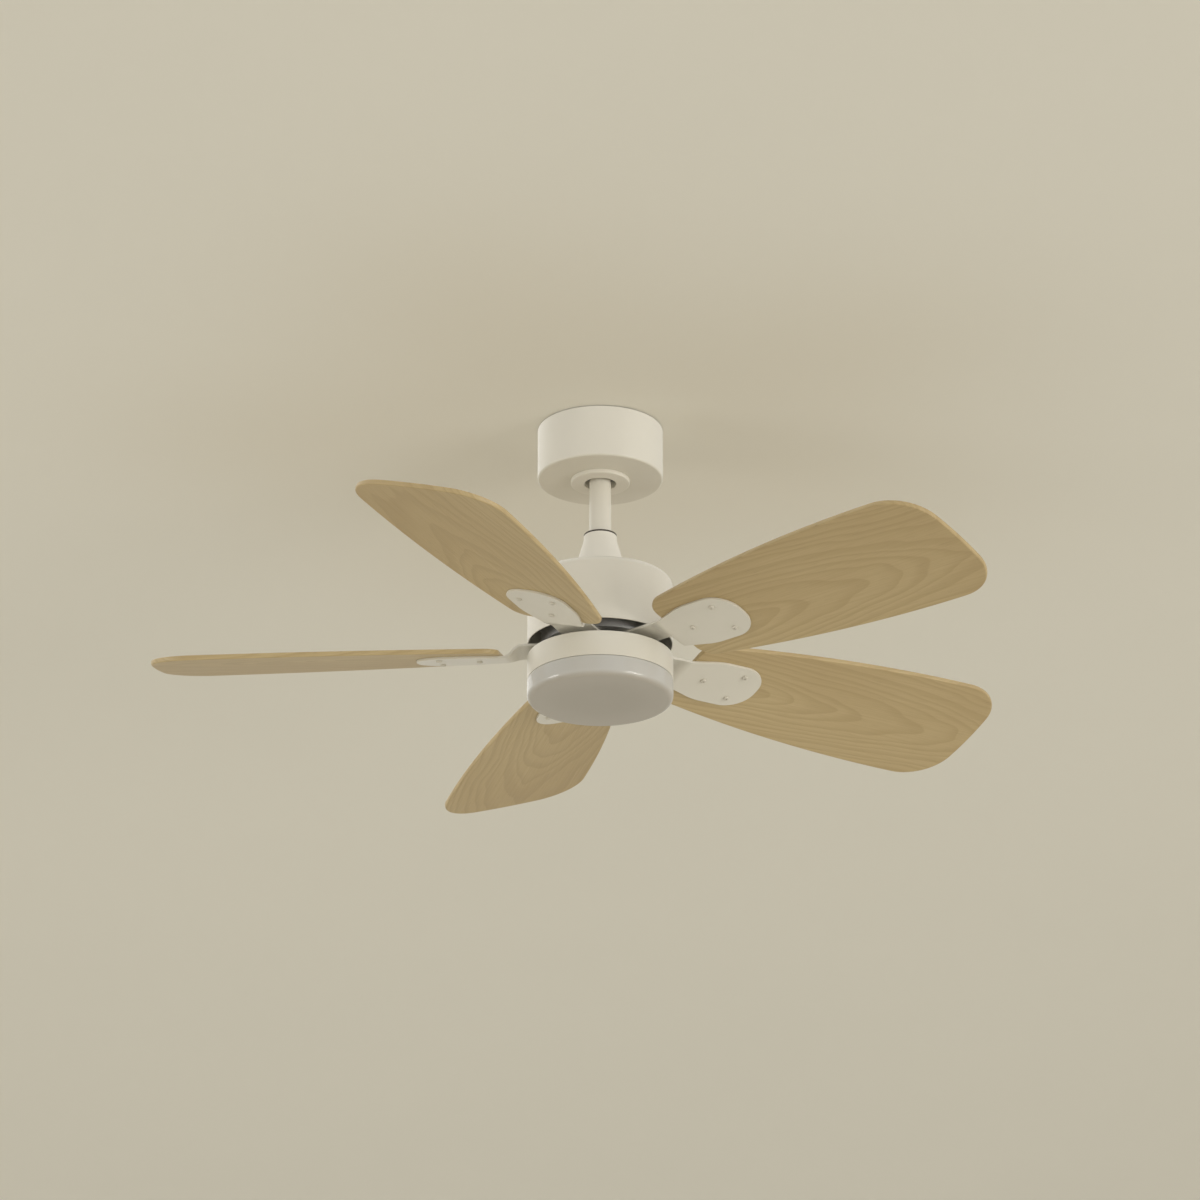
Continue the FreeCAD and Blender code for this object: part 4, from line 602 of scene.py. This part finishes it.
# A driven screw stops at any turn, so each recess points another way.
TURN_PER_BLADE, TURN_PER_SCREW = 0.7, 1.9
copies = []
for number in range(BLADE_COUNT):
    for index, (x, y) in enumerate(screw_places):
        seat = tilt @ Matrix.Translation((x, y, -IRON_THICK / 2))
        drive_turn = Matrix.Rotation(TURN_PER_BLADE * number + TURN_PER_SCREW * index, 4, "Z")
        copies.append(place_copy(screw, f"screw_{number}_{index}", turned_to(number) @ seat @ drive_turn))
bpy.data.objects.remove(screw)
take(copies[0])
for copy in copies:
    copy.select_set(True)
bpy.ops.object.join()
blade_screws = copies[0]
blade_screws.name = blade_screws.data.name = "blade_fixing_screws"
settle(blade_screws, "rotor", "white_screw", "blade_screws")

# %% [markdown]
# ## Finishes
# Every finish is a small node tree on Object coordinates, so it stays on its piece from any side. What
# several finishes share is a node group: uneven paint, turning marks and settled dust. A group only
# gives colours and values. The shader itself stays in each material.

# %% Short ways to add nodes


def feed(tree, socket, value):
    """Links an input socket to an output, or sets it to a plain value."""
    if isinstance(value, bpy.types.NodeSocket):
        tree.links.new(value, socket)
    else:
        socket.default_value = value


def add_node(tree, kind, inputs=None, **settings):
    """Adds a node, sets its properties, and feeds its inputs by name or number."""
    made = tree.nodes.new(kind)
    for key, value in settings.items():
        setattr(made, key, value)
    for key, value in (inputs or {}).items():
        feed(tree, made.inputs[key], value)
    return made


def math_node(tree, operation, first, second=0.0, clamp=False):
    """One step of arithmetic on two values."""
    made = add_node(tree, "ShaderNodeMath", {0: first, 1: second}, operation=operation, use_clamp=clamp)
    return made.outputs[0]


def mix_colors(tree, share, first, second):
    """A share of the second colour in the first."""
    return add_node(tree, "ShaderNodeMix", {0: share, 6: first, 7: second}, data_type="RGBA").outputs[2]


def noise(tree, vector, scale, detail=3.0, rough=0.5):
    """Cloudy values around a half."""
    inputs = {"Vector": vector, "Scale": scale, "Detail": detail, "Roughness": rough}
    return add_node(tree, "ShaderNodeTexNoise", inputs).outputs["Fac"]


def between(tree, value, low, high, to_low=0.0, to_high=1.0):
    """A soft step from one level to another as a value passes from low to high."""
    inputs = {"Value": value, "From Min": low, "From Max": high, "To Min": to_low, "To Max": to_high}
    return add_node(tree, "ShaderNodeMapRange", inputs, interpolation_type="SMOOTHSTEP").outputs["Result"]


def object_spot(tree):
    """The place on the piece, in metres."""
    return add_node(tree, "ShaderNodeTexCoord").outputs["Object"]


def split(tree, vector):
    """A vector's X, Y and Z."""
    return add_node(tree, "ShaderNodeSeparateXYZ", {"Vector": vector}).outputs


def length_of(tree, x, y):
    """The length of a level vector."""
    level = add_node(tree, "ShaderNodeCombineXYZ", {"X": x, "Y": y, "Z": 0.0}).outputs[0]
    return add_node(tree, "ShaderNodeVectorMath", {0: level}, operation="LENGTH").outputs["Value"]


print("node helpers ready")

# %% Groups
COLOR, FLOAT = "NodeSocketColor", "NodeSocketFloat"


def new_group(name, inputs, outputs):
    """An empty node group with named sockets."""
    group = bpy.data.node_groups.new(name, "ShaderNodeTree")
    for label, kind, value in inputs:
        socket = group.interface.new_socket(label, in_out="INPUT", socket_type=kind)
        socket.default_value = value
    for label, kind in outputs:
        group.interface.new_socket(label, in_out="OUTPUT", socket_type=kind)
    return group, group.nodes.new("NodeGroupInput").outputs, group.nodes.new("NodeGroupOutput").inputs


def give(group, result, **values):
    """Links values to a group's outputs."""
    for name, value in values.items():
        group.links.new(value, result[name])


SKIN_OUTPUTS = [("Color", COLOR), ("Roughness", FLOAT), ("Height", FLOAT)]
print("group helpers ready")

# %% Shared effect: uneven coat
coat, given, result = new_group("uneven_coat", [
    ("Color", COLOR, (0.8, 0.8, 0.8, 1)), ("Shade", COLOR, (0.6, 0.6, 0.6, 1)), ("Grain", FLOAT, 700.0)],
    SKIN_OUTPUTS)
spot = object_spot(coat)
cloud = noise(coat, spot, scale=9.0, detail=4.0, rough=0.6)
peel = noise(coat, spot, scale=given["Grain"], detail=2.0)
fleck = between(coat, noise(coat, spot, scale=420.0, detail=2.0), 0.66, 0.74)
tone = mix_colors(coat, between(coat, cloud, 0.3, 0.75, 0.0, 0.4), given["Color"], given["Shade"])
tone = mix_colors(coat, math_node(coat, "MULTIPLY", fleck, 0.12), tone, given["Shade"])
rough = between(coat, math_node(coat, "ADD", cloud, peel), 0.6, 1.4, -0.06, 0.08)
give(coat, result, Color=tone, Roughness=rough, Height=peel)
print("group", coat.name)

# %% Shared effect: dust that settles on faces turned up
DUST = (0.42, 0.39, 0.34, 1)
dust, given, result = new_group("settled_dust", [
    ("Color", COLOR, (0.8, 0.8, 0.8, 1)), ("Amount", FLOAT, 0.5)], [("Color", COLOR), ("Mask", FLOAT)])
look = add_node(dust, "ShaderNodeTexCoord").outputs
patch = noise(dust, look["Object"], scale=38.0, detail=6.0, rough=0.65)
upward = between(dust, split(dust, look["Normal"])["Z"], 0.55, 0.95)
lying = math_node(dust, "MULTIPLY", upward, between(dust, patch, 0.35, 0.75))
mask = math_node(dust, "MULTIPLY", lying, given["Amount"], clamp=True)
give(dust, result, Color=mix_colors(dust, mask, given["Color"], DUST), Mask=mask)
print("group", dust.name)

# %% Shared effect: fine turning marks round the axis
marks, given, result = new_group("turning_marks", [
    ("Color", COLOR, (0.6, 0.6, 0.6, 1)), ("Shade", COLOR, (0.4, 0.4, 0.4, 1)), ("Grain", FLOAT, 900.0)],
    SKIN_OUTPUTS)
spot = object_spot(marks)
x, y, z = split(marks, spot)
groove = add_node(marks, "ShaderNodeCombineXYZ", {"X": length_of(marks, x, y), "Y": 0.0, "Z": z}).outputs[0]
line = noise(marks, groove, scale=given["Grain"])
stain = noise(marks, spot, scale=60.0, detail=5.0, rough=0.6)
tone = mix_colors(marks, between(marks, line, 0.35, 0.7, 0.0, 0.6), given["Color"], given["Shade"])
tone = mix_colors(marks, between(marks, stain, 0.5, 0.8, 0.0, 0.35), tone, given["Shade"])
rough = between(marks, math_node(marks, "ADD", line, stain), 0.6, 1.4, -0.1, 0.12)
give(marks, result, Color=tone, Roughness=rough, Height=line)
print("group", marks.name)

# %% A material around a group
DUST_ROUGHNESS, GRAIN_STRENGTH = 0.3, 0.6


def new_material(name):
    """A material, its node tree and its shader."""
    material = bpy.data.materials.new(name)
    material.use_nodes = True
    return material, material.node_tree, material.node_tree.nodes["Principled BSDF"]


def dusted(tree, tone, rough, amount):
    """A colour and roughness with dust settled on them."""
    film = add_node(tree, "ShaderNodeGroup", {"Color": tone, "Amount": amount}, node_tree=dust).outputs
    duller = math_node(tree, "MULTIPLY", film["Mask"], DUST_ROUGHNESS)
    return film["Color"], math_node(tree, "ADD", rough, duller, clamp=True)


def finish_of(name, group, color, shade, rough, grain, depth, metal=0.0, dusty=0.0, **constants):
    """A finish of one group: its colours, its mean roughness, and its grain's scale and depth in metres."""
    material, tree, shader = new_material(name)
    skin = add_node(tree, "ShaderNodeGroup", {"Color": (*color, 1), "Shade": (*shade, 1), "Grain": grain},
                    node_tree=group).outputs
    tone, rough = skin["Color"], math_node(tree, "ADD", skin["Roughness"], rough, clamp=True)
    if dusty:
        tone, rough = dusted(tree, tone, rough, dusty)
    inputs = {"Height": skin["Height"], "Strength": GRAIN_STRENGTH, "Distance": depth}
    bump = add_node(tree, "ShaderNodeBump", inputs)
    feed(tree, shader.inputs["Base Color"], tone)
    feed(tree, shader.inputs["Roughness"], rough)
    feed(tree, shader.inputs["Normal"], bump.outputs["Normal"])
    shader.inputs["Metallic"].default_value = metal
    for key, value in constants.items():
        shader.inputs[key.replace("_", " ")].default_value = value
    return material


print("material helper ready")

# %% [markdown]
# ## Paint, plastic and metal
# The fan is enamelled in a warm white. Enamel is smooth but never quite even: it has a faint orange
# peel and slow changes of tone. Moulded plastic is a little duller. Metal parts inside show zinc, cast
# aluminium, ground steel and copper wire.

# %% White enamel, plastics and rubber
finishes = {
    "white_paint": finish_of(
        "white_enamel", coat, (0.74, 0.715, 0.635), (0.67, 0.645, 0.565), rough=0.36, grain=900.0,
        depth=0.04 * MM, dusty=0.5, Coat_Weight=0.15, Coat_Roughness=0.25),
    "white_plastic": finish_of(
        "white_moulding", coat, (0.79, 0.765, 0.69), (0.72, 0.695, 0.62), rough=0.44, grain=1500.0,
        depth=0.05 * MM, dusty=0.5),
    "white_screw": finish_of(
        "painted_screw", coat, (0.66, 0.63, 0.55), (0.55, 0.52, 0.44), rough=0.34, grain=1800.0,
        depth=0.04 * MM),
    "dark_rubber": finish_of(
        "seal_rubber", coat, (0.055, 0.045, 0.035), (0.03, 0.026, 0.022), rough=0.62, grain=1600.0,
        depth=0.08 * MM, dusty=0.6),
    "black_nylon": finish_of(
        "nylon", coat, (0.045, 0.045, 0.05), (0.025, 0.025, 0.03), rough=0.5, grain=1400.0,
        depth=0.06 * MM, dusty=0.4),
    "case_plastic": finish_of(
        "case_moulding", coat, (0.66, 0.66, 0.64), (0.56, 0.56, 0.54), rough=0.5, grain=1300.0,
        depth=0.07 * MM, dusty=0.4),
    "terminal_plastic": finish_of(
        "terminal_moulding", coat, (0.7, 0.68, 0.6), (0.6, 0.58, 0.5), rough=0.46, grain=1500.0,
        depth=0.05 * MM, dusty=0.3),
    "magnet": finish_of(
        "ferrite", coat, (0.1, 0.1, 0.105), (0.06, 0.06, 0.065), rough=0.66, grain=1100.0, depth=0.1 * MM),
    "board": finish_of(
        "board_mask", coat, (0.8, 0.8, 0.78), (0.72, 0.72, 0.7), rough=0.4, grain=1700.0, depth=0.03 * MM),
    "chip": finish_of(
        "chip_face", coat, (0.85, 0.68, 0.2), (0.75, 0.55, 0.12), rough=0.35, grain=2400.0, depth=0.03 * MM),
}
print(len(finishes), "coated finishes")

# %% Metals
finishes.update({
    "zinc_steel": finish_of(
        "zinc_sheet", coat, (0.6, 0.6, 0.6), (0.44, 0.45, 0.46), rough=0.38, grain=260.0,
        depth=0.05 * MM, metal=1.0, dusty=0.3),
    "screw_steel": finish_of(
        "zinc_fastener", marks, (0.62, 0.61, 0.58), (0.45, 0.44, 0.42), rough=0.34, grain=1400.0,
        depth=0.03 * MM, metal=1.0),
    "bearing_steel": finish_of(
        "ground_steel", marks, (0.7, 0.7, 0.71), (0.58, 0.58, 0.6), rough=0.2, grain=1900.0,
        depth=0.01 * MM, metal=1.0),
    "core_steel": finish_of(
        "stacked_sheet", marks, (0.27, 0.27, 0.29), (0.16, 0.16, 0.18), rough=0.5, grain=1300.0,
        depth=0.06 * MM, metal=1.0),
    "copper": finish_of(
        "winding_wire", marks, (0.66, 0.33, 0.16), (0.45, 0.2, 0.09), rough=0.36, grain=1100.0,
        depth=0.2 * MM, metal=1.0),
    "rotor_metal": finish_of(
        "cast_aluminium", marks, (0.56, 0.56, 0.57), (0.42, 0.42, 0.43), rough=0.46, grain=700.0,
        depth=0.04 * MM, metal=1.0, dusty=0.3),
})
print(len(finishes), "finishes so far")

# %% [markdown]
# ## Opal light
# The diffuser is unlit opal acrylic: milky, even and glossy. Its wall is pale and cooler than the paint.
# The flat in front of the dark inside is greyer and warmer, most of all in the middle. So the milk
# The flat has painted shade: it is greyer and warmer than the wall, most of all in the middle. So the
# colour changes with the height above the flat and with the distance from the axis. A clear skin gives the
# round edge its fine bright line, and a trace of scattering softens it.

# %% Opal acrylic
opal, tree, shader = new_material("opal_acrylic")
spot = object_spot(tree)
x, y, z = split(tree, spot)
milk = noise(tree, spot, scale=14.0)
wall_tone = mix_colors(tree, milk, (0.575, 0.572, 0.55, 1), (0.555, 0.552, 0.53, 1))
# Painted shade: the flat is greyer and warmer than the wall, darkest in the middle and lighter towards the
# rim.
painted_shade_fade_to_rim = between(tree, length_of(tree, x, y), 30 * MM, 80 * MM)
painted_shade_flat_tone = mix_colors(tree, painted_shade_fade_to_rim, (0.40, 0.37, 0.315, 1), (0.44, 0.41, 0.355, 1))
wall_over_painted_shade = between(tree, z, (LIGHT_BOTTOM + 0.5) * MM, (LIGHT_BOTTOM + CUP_ROUND) * MM)
feed(tree, shader.inputs["Base Color"], mix_colors(tree, wall_over_painted_shade, painted_shade_flat_tone, wall_tone))
feed(tree, shader.inputs["Roughness"], between(tree, milk, 0.3, 0.7, 0.34, 0.4))
shader.inputs["Subsurface Weight"].default_value = 0.15
shader.inputs["Subsurface Radius"].default_value = (0.006, 0.0055, 0.005)
shader.inputs["Subsurface Scale"].default_value = 1.0
shader.inputs["Coat Weight"].default_value = 0.6
shader.inputs["Coat Roughness"].default_value = 0.05
finishes["opal"] = opal
print("opal acrylic ready")

# %% [markdown]
# ## Pale wood
# The blades are pale veneered boards. Their grain runs outwards, so it reads the grain map instead of
# Object coordinates: u runs outwards and v across, both in metres. A tree's growth rings are slender
# cones. A board cuts them at a changing distance from the tree's heart, which gives pointed arches in
# the middle and straight lines at the sides. Each ring has one sharp side. Fibres and pores lie on top.

# %% Growth rings
YEAR_TAPER, YEAR_OFFSET, YEAR_STEP = 0.13, -0.01, 0.0085
SWELL, YEAR_SPREAD = 0.05, 0.02
wood, tree, shader = new_material("pale_wood")
grain_map = add_node(tree, "ShaderNodeUVMap", uv_map="grain").outputs[0]


def grain_noise(along, across, detail=3.0, rough=0.5):
    """Cloudy values drawn out along the grain, with a scale along the blade and one across it."""
    inputs = {"Vector": grain_map, "Scale": (along, across, 1.0)}
    drawn_out = add_node(tree, "ShaderNodeMapping", inputs, vector_type="POINT").outputs[0]
    return noise(tree, drawn_out, scale=1.0, detail=detail, rough=rough)


out, sideways, _ = split(tree, grain_map)
heart = math_node(tree, "ADD", math_node(tree, "MULTIPLY", out, YEAR_TAPER), YEAR_OFFSET)
swell = math_node(tree, "MULTIPLY", grain_noise(along=2.4, across=9.0), SWELL)
age = math_node(tree, "ADD", length_of(tree, heart, sideways), swell)
year_line = add_node(tree, "ShaderNodeCombineXYZ", {"X": age, "Y": 0.0, "Z": 0.0}).outputs[0]
spread = math_node(tree, "MULTIPLY", noise(tree, year_line, scale=55.0, detail=2.0), YEAR_SPREAD)
year = math_node(tree, "DIVIDE", math_node(tree, "ADD", age, spread), YEAR_STEP)
year_part = math_node(tree, "FRACT", year)
slow_rise, sharp_end = between(tree, year_part, 0.25, 0.92), between(tree, year_part, 1.0, 0.93)
late_wood = math_node(tree, "MULTIPLY", slow_rise, sharp_end)
print("growth rings", YEAR_STEP, "m apart")

# %% Fibres, pores and tone
fibre = grain_noise(along=6.0, across=640.0, detail=5.0, rough=0.65)
pores = between(tree, grain_noise(along=38.0, across=1700.0, detail=2.0), 0.62, 0.72)
sheen = grain_noise(along=2.2, across=5.0, detail=2.0)
tone = mix_colors(tree, between(tree, sheen, 0.3, 0.7), (0.56, 0.443, 0.24, 1), (0.505, 0.386, 0.2, 1))
tone = mix_colors(tree, math_node(tree, "MULTIPLY", late_wood, 0.4), tone, (0.38, 0.27, 0.127, 1))
tone = mix_colors(tree, between(tree, fibre, 0.35, 0.7, 0.0, 0.35), tone, (0.4, 0.291, 0.14, 1))
tone = mix_colors(tree, math_node(tree, "MULTIPLY", pores, 0.4), tone, (0.25, 0.17, 0.09, 1))
tone, rough = dusted(tree, tone, between(tree, fibre, 0.3, 0.75, 0.4, 0.52), 0.45)
relief = math_node(tree, "SUBTRACT", fibre, pores)
bump = add_node(tree, "ShaderNodeBump", {"Height": relief, "Strength": 0.35, "Distance": 0.15 * MM})
feed(tree, shader.inputs["Base Color"], tone)
feed(tree, shader.inputs["Roughness"], rough)
feed(tree, shader.inputs["Normal"], bump.outputs["Normal"])
finishes["blade_wood"] = wood
print("pale wood ready")

# %% [markdown]
# ## Dressing the pieces
# A new piece already names its slot, so it finds its finish by that name. The solids inside have no new
# piece, so a table says what each is made of. All slots of an object get the one finish, which is
# simpler than asking which of them is used.

# %% Give every piece and every shown solid its finish
SOLID_SLOTS = {
    "zinc_steel": ["hanger_bracket", "light_plate"],
    "screw_steel": ["canopy_screws", "cross_pin", "clevis_pin", "cotter_pin", "yoke_set_screws",
                    "housing_screws", "rotor_screws", "iron_screws", "shaft_nut", "light_screws",
                    "led_screws"],
    "bearing_steel": ["motor_shaft", "bearing_inner_rings", "bearing_outer_rings", "bearing_balls"],
    "black_nylon": ["hanger_ball"],
    "case_plastic": ["receiver_case", "led_driver"],
    "terminal_plastic": ["terminal_block"],
    "core_steel": ["stator_core"],
    "copper": ["stator_windings"],
    "rotor_metal": ["rotor_top_shell", "rotor_bottom_shell", "rod_yoke"],
    "magnet": ["rotor_magnets"],
    "board": ["led_board"],
    "chip": ["led_chips"],
}


def dress(thing, finish):
    """Puts one finish on all material slots of an object."""
    if not thing.material_slots:
        thing.data.materials.append(finish)
    for material_slot in thing.material_slots:
        material_slot.material = finish


for slot, names in SOLID_SLOTS.items():
    for name in names:
        dress(solids[name], finishes[slot])
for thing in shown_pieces():
    if thing.get("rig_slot"):
        dress(thing, finishes[thing["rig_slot"]])
bare = [thing.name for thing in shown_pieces()
        if not thing.material_slots or thing.material_slots[0].material not in finishes.values()]
print("pieces without a finish:", bare)

# %% [markdown]
# ## Stage, light and camera
# The fan hangs under a plain pale ceiling above a plain pale floor. Both planes are seen only from
# inside the room, so that views from above or below aren't blocked. A large soft lamp stands on the
# right, a weaker one on the left, one above, and an even pale surround fills the shadows. The lamps
# stand low, so the floor below them is very bright. It throws that light up at the fan, but a camera
# above the fan sees the floor in one even pale tone.

# %% Ceiling and floor
STAGE_ROUGHNESS, STAGE_SHADE, FLOOR_SHOWN = 0.9, 0.97, 0.65


def pale_plane(name, height, size, color, facing_down):
    """A plane that shows only on its room side. Only the camera sees the ceiling, which blocks no light."""
    bpy.ops.object.select_all(action="DESELECT")
    bpy.ops.mesh.primitive_plane_add(size=size, location=(0, 0, height))
    plane = bpy.context.active_object
    plane.name = name
    material, tree, shader = new_material(name)
    shade = [STAGE_SHADE * part for part in color]
    cloud = noise(tree, object_spot(tree), scale=1.2, detail=2.0)
    tone = mix_colors(tree, cloud, (*color, 1), (*shade, 1))
    feed(tree, shader.inputs["Base Color"], tone)
    shader.inputs["Roughness"].default_value = STAGE_ROUGHNESS
    hidden = add_node(tree, "ShaderNodeNewGeometry").outputs["Backfacing"]
    seen = add_node(tree, "ShaderNodeLightPath").outputs["Is Camera Ray"]
    face = shader.outputs[0]
    if facing_down:
        bpy.ops.object.mode_set(mode="EDIT")
        bpy.ops.mesh.flip_normals()
        bpy.ops.object.mode_set(mode="OBJECT")
        hidden = math_node(tree, "MAXIMUM", hidden, math_node(tree, "SUBTRACT", 1.0, seen))
    else:
        even = add_node(tree, "ShaderNodeEmission", {"Color": tone, "Strength": FLOOR_SHOWN}).outputs[0]
        face = add_node(tree, "ShaderNodeMixShader", {0: seen, 1: face, 2: even}).outputs[0]
        material.cycles.emission_sampling = "NONE"
    clear = add_node(tree, "ShaderNodeBsdfTransparent").outputs[0]
    mixed = add_node(tree, "ShaderNodeMixShader", {0: hidden, 1: face, 2: clear}).outputs[0]
    feed(tree, tree.nodes["Material Output"].inputs["Surface"], mixed)
    plane.data.materials.append(material)


pale_plane("room_ceiling", height=0.5 * MM, size=14, color=(0.85, 0.835, 0.76), facing_down=True)
pale_plane("room_floor", height=-3.2, size=160, color=(0.73, 0.705, 0.64), facing_down=False)
print("ceiling and floor staged")

# %% Soft lamps
FAN_MIDDLE = Vector((0, 0, -0.25))


def soft_lamp(name, place, size, power, color):
    """A square soft lamp that points at the fan and isn't seen itself."""
    lamp = bpy.data.lights.new(name, "AREA")
    lamp.size, lamp.energy, lamp.color = size, power, color
    holder = bpy.data.objects.new(name, lamp)
    bpy.context.scene.collection.objects.link(holder)
    holder.location = place
    holder.rotation_euler = (FAN_MIDDLE - Vector(place)).to_track_quat("-Z", "Y").to_euler()
    holder.visible_camera = False


soft_lamp("key_lamp", place=(8.0, -5.9, -1.3), size=4.2, power=385, color=(1.0, 0.97, 0.92))
soft_lamp("fill_lamp", place=(-9.3, -2.4, -1.15), size=3.2, power=185, color=(1.0, 0.97, 0.92))
soft_lamp("top_lamp", place=(-1.5, 2.5, 3.4), size=7.0, power=80, color=(1.0, 0.98, 0.95))
print("three lamps placed")

# %% Pale surround
SURROUND_STRENGTH = 0.64
room = bpy.data.worlds.new("pale_surround")
bpy.context.scene.world = room
room.use_nodes = True
tree = room.node_tree
surround = tree.nodes["Background"]
surround.inputs["Color"].default_value = (1.0, 0.97, 0.91, 1)
surround.inputs["Strength"].default_value = SURROUND_STRENGTH
shown = add_node(tree, "ShaderNodeBackground", {"Color": (0.66, 0.64, 0.57, 1), "Strength": 1.0})
ray = add_node(tree, "ShaderNodeLightPath").outputs
mirrored_ray = math_node(tree, "ADD", ray["Is Glossy Ray"], ray["Is Transmission Ray"])
seen = math_node(tree, "ADD", ray["Is Camera Ray"], mirrored_ray, clamp=True)
chosen = add_node(tree, "ShaderNodeMixShader", {0: seen, 1: surround.outputs[0], 2: shown.outputs[0]})
feed(tree, tree.nodes["World Output"].inputs["Surface"], chosen.outputs[0])
bpy.context.scene.view_settings.view_transform = "Standard"
print("surround at", SURROUND_STRENGTH)

# %% Camera at the photograph's place
FOCAL_LENGTH, SENSOR_WIDTH = 150, 36
CAMERA_PLACE, LOOK_UP = (-0.0003, -5.5057, -2.5199), math.radians(22.659)
lens = bpy.data.cameras.new("view_from_below")
lens.lens, lens.sensor_width = FOCAL_LENGTH, SENSOR_WIDTH
lens.clip_end = 100
viewer = bpy.data.objects.new("view_from_below", lens)
bpy.context.scene.collection.objects.link(viewer)
viewer.location = CAMERA_PLACE
viewer.rotation_euler = (math.pi / 2 + LOOK_UP, 0, 0)
bpy.context.scene.camera = viewer
print("camera", round(viewer.location.length, 2), "m from the fan's ceiling point")
